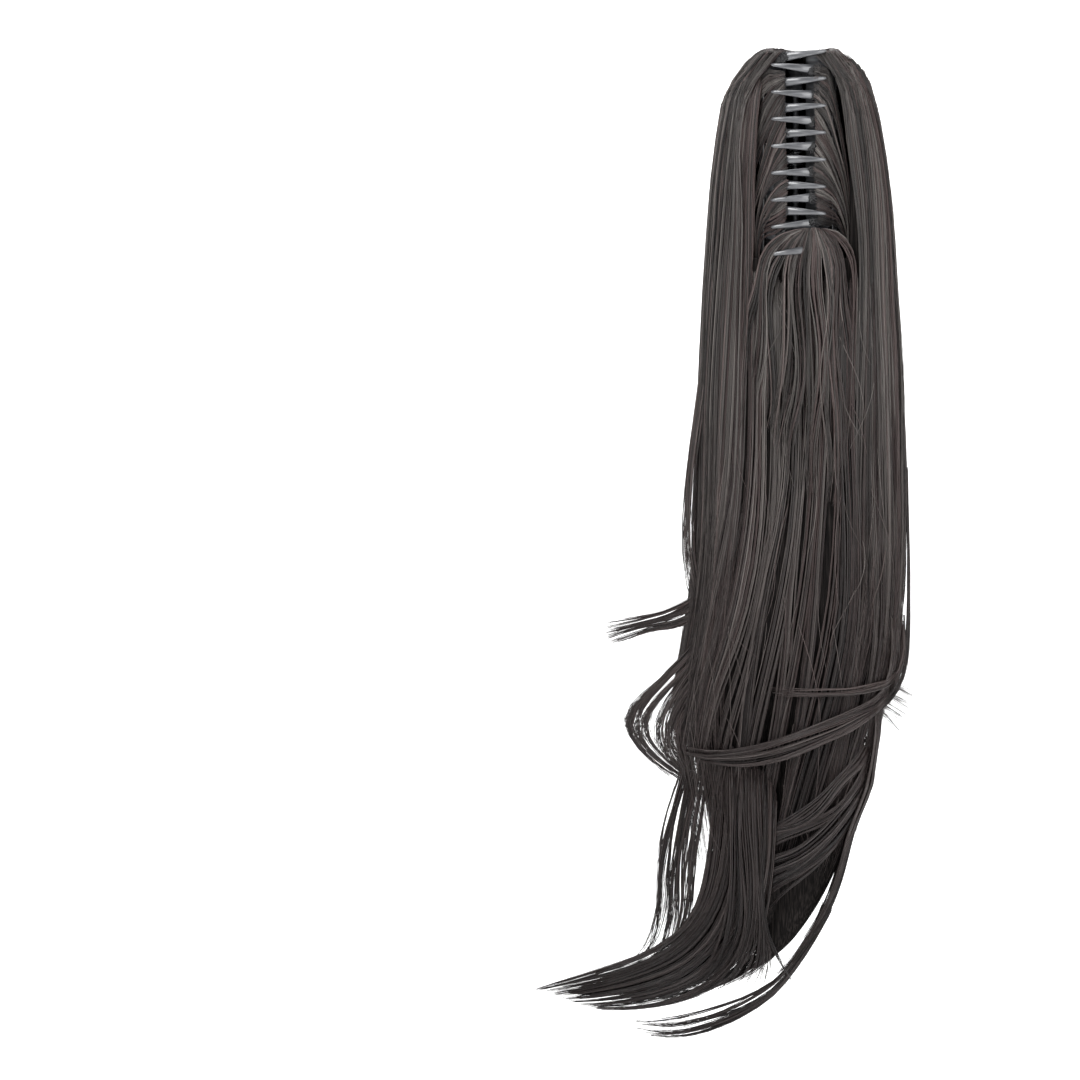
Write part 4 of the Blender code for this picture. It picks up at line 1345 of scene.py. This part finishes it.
TUFT_GUIDES = {
    -1: (
        ((-6.5, 39, 0), (-10, 41, 0), (-14.5, 41.2, 0), (-20.5, 38, 0), (-25, 30, 0), (-27, 14, 0),
         (-27.5, -8, 0), (-26, -32, 0), (-24, -60, 0)),
        ((-6.5, 33, 0), (-10, 30, 0), (-16, 19, 0), (-21, 6, 0), (-24.5, -10, 0), (-24.5, -32, 0),
         (-23, -62, 0)),
        ((-6.5, 22, 0), (-10, 16, 0), (-15, 6, 0), (-19.5, -8, 0), (-22.5, -24, 0), (-22.5, -42, 0),
         (-21, -66, 0)),
        ((-6.0, 6, 0), (-9, 0, 0), (-13.5, -9, 0), (-18, -21, 0), (-20.5, -36, 0), (-20, -50, 0),
         (-19, -70, 0)),
        ((-5.0, -12.5, 0), (-8.5, -14.5, 0), (-12, -17, 0), (-16.8, -23.5, 0), (-19.4, -32, 0),
         (-20.5, -43, 0), (-19.5, -74, 0)),
        ((-6.0, -36, 0), (-10, -38.5, 0), (-14.5, -42, 0), (-17.6, -47, 0), (-18.5, -56, 0), (-18.5, -76, 0)),
    ),
    1: (
        ((7, 42, 0), (10, 44.5, 0), (14, 43, 0), (18, 34, 0), (21.5, 16, 0), (24.5, -6, 0), (26.5, -30, 0),
         (27, -62, 0)),
        ((7, 31.5, 0), (12, 30, 0), (17, 20, 0), (21, 4, 0), (24.5, -14, 0), (26, -34, 0), (26, -64, 0)),
        ((7.5, 21, 0), (12, 15, 0), (17, 5, 0), (21.5, -9, 0), (24.5, -24, 0), (26, -40, 0), (25, -66, 0)),
        ((8, 6, 0), (12, 0, 0), (17.5, -9, 0), (22, -20, 0), (24.5, -34, 0), (24.5, -48, 0), (24, -68, 0)),
        ((7, -8.5, 0), (11.9, -11.4, 0), (17, -18, 0), (21.2, -25.7, 0), (24.5, -34, 0), (26, -46, 0),
         (25.5, -68, 0)),
        ((9, -34, 0), (14, -36.5, 0), (19.5, -41, 0), (23, -47, 0), (24.5, -56, 0), (24, -74, 0)),
    ),
}


@dataclass
class JawTufts:
    """The hair sewn on each jaw, which goes out from the claw's edge and down.

    Attributes:
        count: How many strands a side has.
        clumps: How they are gathered.
        cover: The radius round the clip's axis at which they pass its wall.
        reach: Their reach from the pin, beside the teeth and further out.
        lowest_ride: Below this height the strands were to follow the long hair; it is not used.
        highest_ride: Above this height they were to follow the jaw; it is not used.
    """

    count: int = 500
    clumps: Clumping = field(
        default_factory=lambda: Clumping(count=13, fine=60, ridge=0.6, pull=0.3, wander=0.5, depth=1.6)
    )
    cover: float = 19.4
    reach: tuple[float, float] = (36.8, 32.8)
    lowest_ride: float = -62.0
    highest_ride: float = -42.0

    def surface(self, x: Array) -> Array:
        """How far forward the hair lies: past the jaw's wall, and inside the room it swings in."""
        across = np.abs(x)
        reach = self.reach[0] + (self.reach[1] - self.reach[0]) * smoothstep(11, 19, across)
        swing = np.sqrt(np.clip(reach**2 - across**2, 0, None)) - PIN_Y
        wall = np.sqrt(np.clip(self.cover**2 - across**2, 0, None))
        return -np.maximum(swing, wall)

    def build(self, material: Any) -> None:
        """Makes both tufts and pushes their strands forward to lie past the jaw's wall, in place of the
        solids' tufts.
        """
        for side, guides in TUFT_GUIDES.items():
            sheet = HairSheet(
                f"{LABELS[side]}_tuft_hair", guides, side=Side.FREE, count=self.count, clumps=self.clumps,
                points=13, radius=0.18, root=0.03, stray=0.5, seed=50 + side,
            )
            rng = np.random.default_rng(sheet.seed)
            strands = sheet.strands(rng)
            strands.paths[..., 1] += self.surface(strands.paths[..., 0])
            piece = strands.mesh(sheet.name, material, rng)
            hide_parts(f"{LABELS[side]}_tuft")
            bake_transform(piece)


@dataclass
class LongHair:
    """The cores, the curtain, the fall, the sweeping locks and the tail.

    Attributes:
        still: Where the right crown was meant to start following its jaw, the left one mirrored; build only
            turns it into metres.
        carried: Where it was meant to follow the jaw wholly; build only turns it into metres.
    """

    still: tuple[float, float, float] = (30.0, 30.0, 20.0)
    carried: tuple[float, float, float] = (16.0, -8.0, 48.0)

    def build(self, strands: Any, core: Any) -> None:
        """Makes the cores and every layer of strands."""
        Body().build(core)
        for lock in LOCK_CORES:
            lock.build(core)
        for layer in SHEETS:
            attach(layer.build(strands), ROOT)
        for layers in (FORM_HAIR, PANELS):
            for side, layer in zip((-1, 1), layers):
                ends = (np.array(place) * MM * (side, 1, 1) for place in (self.still, self.carried))
                start, end = (tuple(float(value) for value in place) for place in ends)
                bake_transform(layer.build(strands))


@dataclass
class Flyaways:
    """Single strands that have come loose and cross the hair in long thin arcs.

    Attributes:
        count: How many there are.
        points: The points along each one.
        radius: Their radius.
        seed: The seed of the random numbers.
    """

    count: int = 90
    points: int = 14
    radius: float = 0.13
    seed: int = 71

    def build(self, material: Any) -> None:
        """Makes the strands: a heading that turns steadily, on the front and on the back."""
        rng = np.random.default_rng(self.seed)
        steps = np.linspace(0, 1, self.points)[None, :]
        high = rng.uniform(-330, -55, (self.count, 1))
        row = FORM.at(high)
        low_x, high_x = row["left_outer"], row["right_outer"]
        begin = low_x + (high_x - low_x) * rng.uniform(0.02, 0.98, (self.count, 1))
        turning = np.clip(rng.normal(0, 35, (self.count, 1)), -60, 60) * steps
        heading = np.radians(-90 + 40 * np.tanh(rng.normal(0, 0.5, (self.count, 1))) + turning)
        length = rng.uniform(20, 65, (self.count, 1))
        sideways = np.cumsum(np.cos(heading), axis=1) * length / self.points
        x = begin + 14 * np.tanh(sideways / 14)
        z = high + np.cumsum(np.sin(heading), axis=1) * length / self.points
        z = np.maximum(z, -395)
        lift = 1.5 + 2.5 * np.sin(math.pi * steps) * rng.uniform(0.2, 1, (self.count, 1))
        facing = np.where(rng.uniform(0, 1, (self.count, 1)) < 0.75, -1, 1)
        y = np.where(facing < 0, FORM.front(x, z) - lift, FORM.depth(x, z, 1) + lift)
        tones = rng.uniform(0.6, 1, self.count)
        strands = Strands(np.stack([x, y, z], axis=-1), tones, tones, self.radius, (0.7, 1.4))
        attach(strands.mesh("flyaways", material, rng), ROOT)


@dataclass
class Jaw:
    """One toothed half of the claw, smooth where the solid is faceted.

    Attributes:
        side: -1 for the left jaw, 1 for the right one.
        offset: How far its teeth are shifted along the clip.
        ear_centre: The height of its ears' middles.
        pitch: The teeth's spacing at their roots.
        fan: How far the tips spread, as a share of their height.
        tooth_radius: The radius of a tooth past its bend.
        stops: The angles of a tooth's root, bend and tip, from +Y in degrees.
        widths: A tooth's width at those angles.
        wall_start: Where the wall starts, in degrees from +Y.
        tab: The finger tab's angle, offset, root, length and width.
        ear: The ears' radius and length.
        web_land: Where the web by each ear meets the wall, in degrees from +Y.
        web_thickness: The web's thickness.
    """

    side: int
    offset: float
    ear_centre: float
    pitch: float = 11.8
    fan: float = 0.12
    tooth_radius: float = 26.0
    stops: tuple[float, float, float] = (112.0, 150.0, 200.0)
    widths: tuple[float, float, float] = (6.0, 4.8, 1.5)
    wall_start: float = 17.0
    tab: tuple[float, float, float, float, float] = (46.0, 5.2, 2.8, 22.0, 44.0)
    ear: tuple[float, float] = (3.6, 6.0)
    web_land: float = 21.0
    web_thickness: float = 3.6

    def centres(self) -> Array:
        """The heights of the teeth's roots."""
        return self.offset + self.pitch * (np.arange(8) - 3.5)

    def line(self, angles: Array) -> tuple[Array, Array]:
        """The wall's middle line and outward direction at these angles from +Y.

        Past the bend a tooth goes on along a flatter arc that starts in the same direction.
        """
        turn, bend = np.radians(angles), math.radians(self.stops[1])
        out = np.stack([np.sin(turn), np.cos(turn)], axis=-1)
        shift = (JAW_RADIUS - self.tooth_radius) * np.array([math.sin(bend), math.cos(bend)])
        on_tooth = (angles > self.stops[1])[:, None]
        return np.where(on_tooth, self.tooth_radius * out + shift, JAW_RADIUS * out), out

    def swept(self, angles: Array, outline: Array, shape: Array, middle: Array) -> Surface:
        """An outline of height and thickness, carried along the line.

        Args:
            angles: The angles along the line.
            outline: The section, as points of height and thickness.
            shape: The section's scale in height and in thickness at each angle.
            middle: The section's height at each angle.

        Returns:
            The closed surface.
        """
        points, out = self.line(angles)
        flat = points[:, None] + outline[None, :, 1:] * shape[:, None, 1:] * out[:, None]
        high = middle[:, None] + outline[None, :, 0] * shape[:, None, 0]
        return loft(np.concatenate([flat, high[..., None]], axis=2))

    def wall(self) -> Surface:
        """The curved wall, a rounded slab that runs the clip's length."""
        angles = np.linspace(self.wall_start, self.stops[0] + 3, 40)
        shape = np.ones((40, 2))
        shape[[0, -1]] = (0.985, 0.45)
        return self.swept(angles, rounded(CLIP_HALF_LENGTH, WALL / 2, 0.9), shape, np.zeros(40))

    def tooth(self, centre: float) -> Surface:
        """A tooth: a domed section that narrows to the tip, whose height fans out."""
        angles = np.concatenate([np.linspace(106.0, 196.0, 26), [198.0, 199.4, 200.2]])
        share = np.clip((angles - self.stops[0]) / (self.stops[2] - self.stops[0]), 0, 1)
        tip = np.append(np.ones(26), (0.9, 0.66, 0.2))
        width = np.interp(angles, self.stops, self.widths) * tip
        thick = np.interp(angles, self.stops, (1.0, 1.1, 0.75)) * tip
        turn = np.linspace(0, 2 * math.pi, 20, endpoint=False)
        section = np.stack([np.cos(turn), np.sin(turn)], axis=1)
        section = np.sign(section) * np.abs(section) ** 0.72
        shape = np.stack([width / 2 * 1.04, thick * WALL / 2 * 1.06], axis=1)
        return self.swept(angles, section, shape, centre * (1 + self.fan * share))

    def slab(self, start: Array, end: Array, size: tuple[float, float], z: float) -> Surface:
        """A straight rounded slab between two places in x and y.

        Args:
            start: Where it starts.
            end: Where it ends.
            size: Its thickness and its height.
            z: The height of its middle.

        Returns:
            The closed surface.
        """
        thickness, height = size
        along = (end - start) / np.linalg.norm(end - start)
        out = np.array([along[1], -along[0]])
        outline = rounded(height / 2, thickness / 2, min(0.45 * thickness, 0.9))
        scale = np.array([0.8, 1.0, 1.0, 0.8])[:, None]
        middle = start + (end - start) * np.array([0.0, 0.02, 0.98, 1.0])[:, None]
        flat = middle[:, None] + outline[None, :, 1:] * scale[..., None] * out
        high = z + outline[None, :, 0] * (1 - (1 - scale) * thickness / height)
        return loft(np.concatenate([flat, high[..., None]], axis=2))

    def barrel(self, z: float) -> Surface:
        """A hinge ear: a cylinder round the pin with eased rims."""
        radius, length = self.ear
        turn = np.linspace(0, 2 * math.pi, 32, endpoint=False)
        ring = np.stack([np.cos(turn), np.sin(turn)], axis=1)
        radii = radius * np.array([0.9, 1, 1, 0.9])[:, None, None]
        heights = z + length / 2 * np.array([-1, -0.93, 0.93, 1])
        high = np.repeat(heights[:, None, None], len(turn), axis=1)
        return loft(np.concatenate([[0.0, PIN_Y] + radii * ring, high], axis=2))

    def build(self, material: Any) -> None:
        """Makes the jaw on the +X side, mirrors it if it is the left one and hangs it on its body."""
        parts = [self.wall()] + [self.tooth(float(centre)) for centre in self.centres()]
        angle, offset, root, length, width = self.tab
        turn = math.radians(angle)
        pin = np.array([0.0, PIN_Y])
        along, out = np.array([math.cos(turn), math.sin(turn)]), np.array([math.sin(turn), -math.cos(turn)])
        edge = pin + out * offset
        parts.append(self.slab(edge + along * root, edge + along * length, (WALL, width), 0.0))
        land = math.radians(self.web_land)
        meet = JAW_RADIUS * np.array([math.sin(land), math.cos(land)])
        for z in (-self.ear_centre, self.ear_centre):
            parts.append(self.slab(pin + (meet - pin) * 0.05, meet, (self.web_thickness, self.ear[1]), z))
            parts.append(self.barrel(z))
        surface = joined(parts)
        piece = new_piece(
            f"{LABELS[self.side]}_claw", mirrored(surface) if self.side < 0 else surface, material
        )
        piece.data.set_sharp_from_angle(angle=math.radians(50))
        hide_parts(f"{LABELS[self.side]}_jaw")
        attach(piece, SIDES[self.side])
        LOG.info("%s: %d faces", piece.name, len(surface[1]))


@dataclass
class Weft:
    """The sewn band round a jaw, its stitches, and the curly knots beside the teeth.

    Attributes:
        side: -1 for the left jaw, 1 for the right one.
        teeth: The heights of the jaw's own teeth.
        band: The band's inner radius, thickness and length.
        ends: Where the band starts and ends, in degrees from +Y.
        thread: The radius of the knots' thread.
        knots: How many threads make up a knot.
        place: The knots' x and their radius round the clip's axis.
        spread: Half the size of a knot in x, y and z.
        seed: The seed of the random numbers.
    """

    side: int
    teeth: Array
    band: tuple[float, float, float] = (18.4, 1.5, 97.0)
    ends: tuple[float, float] = (36.0, 122.0)
    thread: float = 0.34
    knots: int = 4
    place: tuple[float, float] = (9.0, 18.6)
    spread: tuple[float, float, float] = (3.6, 0.8, 3.0)
    seed: int = 61

    def cloth(self) -> Surface:
        """The band: a rounded slab carried round the wall."""
        inner, thickness, length = self.band
        turn = np.radians(np.linspace(*self.ends, 30))
        out = np.stack([np.sin(turn), np.cos(turn)], axis=-1)
        outline = rounded(length / 2, thickness / 2, 0.6)
        flat = (inner + thickness / 2 + outline[None, :, 1:]) * out[:, None]
        high = np.repeat(outline[None, :, :1], len(turn), axis=0)
        return loft(np.concatenate([flat, high], axis=2))

    def stitches(self) -> Surface:
        """Rows of zigzag thread on the band: the angle sways as the height rises."""
        z = np.linspace(-47, 47, 120)
        rows = np.radians(np.array([46.0, 68.0, 90.0, 112.0]))
        turn = rows[:, None] + 0.035 * np.sin(2 * math.pi * z / 3.2)[None, :]
        radius = self.band[0] + self.band[1] + 0.15
        heights = np.repeat(z[None], len(rows), axis=0)
        paths = np.stack([radius * np.sin(turn), radius * np.cos(turn), heights], axis=-1)
        return carried(paths, np.full(paths.shape[:2], 0.3), 4, np.zeros(len(rows)))

    def tangles(self, rng: np.random.Generator) -> Surface:
        """The knots: each thread winds as a sum of sines inside its own box."""
        places = np.repeat(self.teeth, self.knots)
        count = len(places)
        t = np.linspace(0, 2 * math.pi, 70)
        speed = rng.integers(2, 6, (count, 3, 1)) + rng.uniform(-0.3, 0.3, (count, 3, 1))
        phase = rng.uniform(0, 2 * math.pi, (count, 3, 1))
        sway = 0.7 * np.sin(speed * t + phase) + 0.3 * np.sin(2.3 * speed * t - phase)
        sway = sway * np.array(self.spread)[None, :, None] * rng.uniform(0.6, 1.0, (count, 3, 1))
        x = self.place[0] + rng.uniform(-1.5, 1.5, (count, 1)) + sway[:, 0]
        y = sway[:, 1] - np.sqrt(np.clip(self.place[1] ** 2 - x**2, 40, None))
        z = places[:, None] + rng.uniform(-1, 1, (count, 1)) + sway[:, 2]
        return carried(np.stack([x, y, z], axis=-1), np.full(x.shape, self.thread), 4, np.zeros(count))

    def build(self, material: Any) -> None:
        """Makes the whole weft and hangs it on its jaw."""
        rng = np.random.default_rng(self.seed + self.side)
        surface = joined([self.cloth(), self.stitches(), self.tangles(rng)])
        piece = new_piece(
            f"{LABELS[self.side]}_sewn_weft", mirrored(surface) if self.side < 0 else surface, material
        )
        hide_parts(f"{LABELS[self.side]}_weft")
        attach(piece, SIDES[self.side])
        LOG.info("%s: %d faces", piece.name, len(surface[1]))


@dataclass
class ClawClip:
    """The toothed jaws with their wefts, and the pin and the spring between them.

    Attributes:
        shift: How far each jaw's teeth are shifted from the middle.
        ears: The height of the ears' middles on the right jaw and on the left one.
    """

    shift: float = 2.95
    ears: tuple[float, float] = (41.0, 34.4)

    def build(self, plastic: Any, steel: Any, thread: Any) -> None:
        """Makes both jaws with their wefts and gives the pin and spring their finish."""
        for side, ear_centre in ((1, self.ears[0]), (-1, self.ears[1])):
            jaw = Jaw(side, -side * self.shift, ear_centre)
            jaw.build(plastic)
            Weft(side, jaw.centres() * (1 + 0.35 * jaw.fan)).build(thread)
        for name in ("hinge_pin", "claw_spring"):
            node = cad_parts[name]
            node.data.materials.clear()
            node.data.materials.append(steel)
            LOG.info("%s dressed", name)


@dataclass
class Studio:
    """White paper, soft light and the camera.

    Attributes:
        picture_middle: Where the picture's middle is, in x and z.
        picture_width: How wide the picture is at the clip.
        distance: How far the camera stands in front, in metres.
        floor: The floor's height, in metres.
        ambient: The strength of the light from all round.
    """

    picture_middle: tuple[float, float] = (-126.0, -188.7)
    picture_width: float = 529.2
    distance: float = 3.0
    floor: float = -0.47
    ambient: float = 0.34

    def camera(self) -> None:
        """Places the camera at the photograph's angle, looking along +Y."""
        lens = bpy.data.cameras.new("camera")
        lens.sensor_width = 36.0
        lens.lens = lens.sensor_width * self.distance / (self.picture_width * MM)
        lens.clip_end = 20.0
        made = bpy.data.objects.new("camera", lens)
        x, z = self.picture_middle
        made.location = (x * MM, -self.distance, z * MM)
        made.rotation_euler = (math.pi / 2, 0, 0)
        bpy.context.scene.collection.objects.link(made)
        bpy.context.scene.camera = made

    def paper(self, material: Any) -> None:
        """The floor and the wall as one sheet, whose profile is a line, a quarter turn and a line."""
        bend = np.linspace(0, math.pi / 2, 17)
        radius, wall_y, wall_top, half_width = 0.6, 4.2, 5.0, 6.0
        y = np.concatenate([[-5.0], wall_y - radius + radius * np.sin(bend), [wall_y]])
        z = np.concatenate([[0.0], radius - radius * np.cos(bend), [wall_top]]) + self.floor
        rows = len(y)
        points = np.concatenate(
            [np.stack([np.full(rows, side * half_width), y, z], axis=1) for side in (-1, 1)]
        )
        k = np.arange(rows - 1)
        faces = np.stack([k, k + rows, k + rows + 1, k + 1], axis=1)
        new_piece("studio_paper", (points / MM, faces), material)

    def lights(self) -> None:
        """A white world, a broad key, a fill and a top light."""
        world = bpy.data.worlds.new("studio")
        world.use_nodes = True
        world.node_tree.nodes["Background"].inputs[0].default_value = (1, 1, 1, 1)
        world.node_tree.nodes["Background"].inputs[1].default_value = self.ambient
        bpy.context.scene.world = world
        table = (
            ("key", (-1.2, -2.1, 1.2), (64, 0, -30), 1.2, 62),
            ("fill", (1.6, -1.9, 0.3), (83, 0, 40), 1.2, 26),
            ("top", (0.0, -0.2, 1.5), (0, 0, 0), 1.0, 16),
        )
        for name, place, turn, size, power in table:
            light = bpy.data.lights.new(name, "AREA")
            light.shape = "SQUARE"
            light.size = size
            light.energy = power
            made = bpy.data.objects.new(name, light)
            made.location = place
            made.rotation_euler = [math.radians(angle) for angle in turn]
            bpy.context.scene.collection.objects.link(made)

    def build(self, material: Any) -> None:
        """Makes the whole studio."""
        self.paper(material)
        self.lights()
        self.camera()
        bpy.context.scene.view_settings.view_transform = "Standard"
        LOG.info("studio ready")


def main() -> None:
    """Builds the looks in order."""
    strands = HairFinish().make()
    ClawClip().build(ClawFinish().make(), SteelFinish().make(), ThreadFinish().make())
    LongHair().build(strands, CoreFinish().make())
    JawTufts().build(strands)
    Flyaways().build(strands)
    Studio().build(StudioFinish().make())


if __name__ == "__main__":
    main()
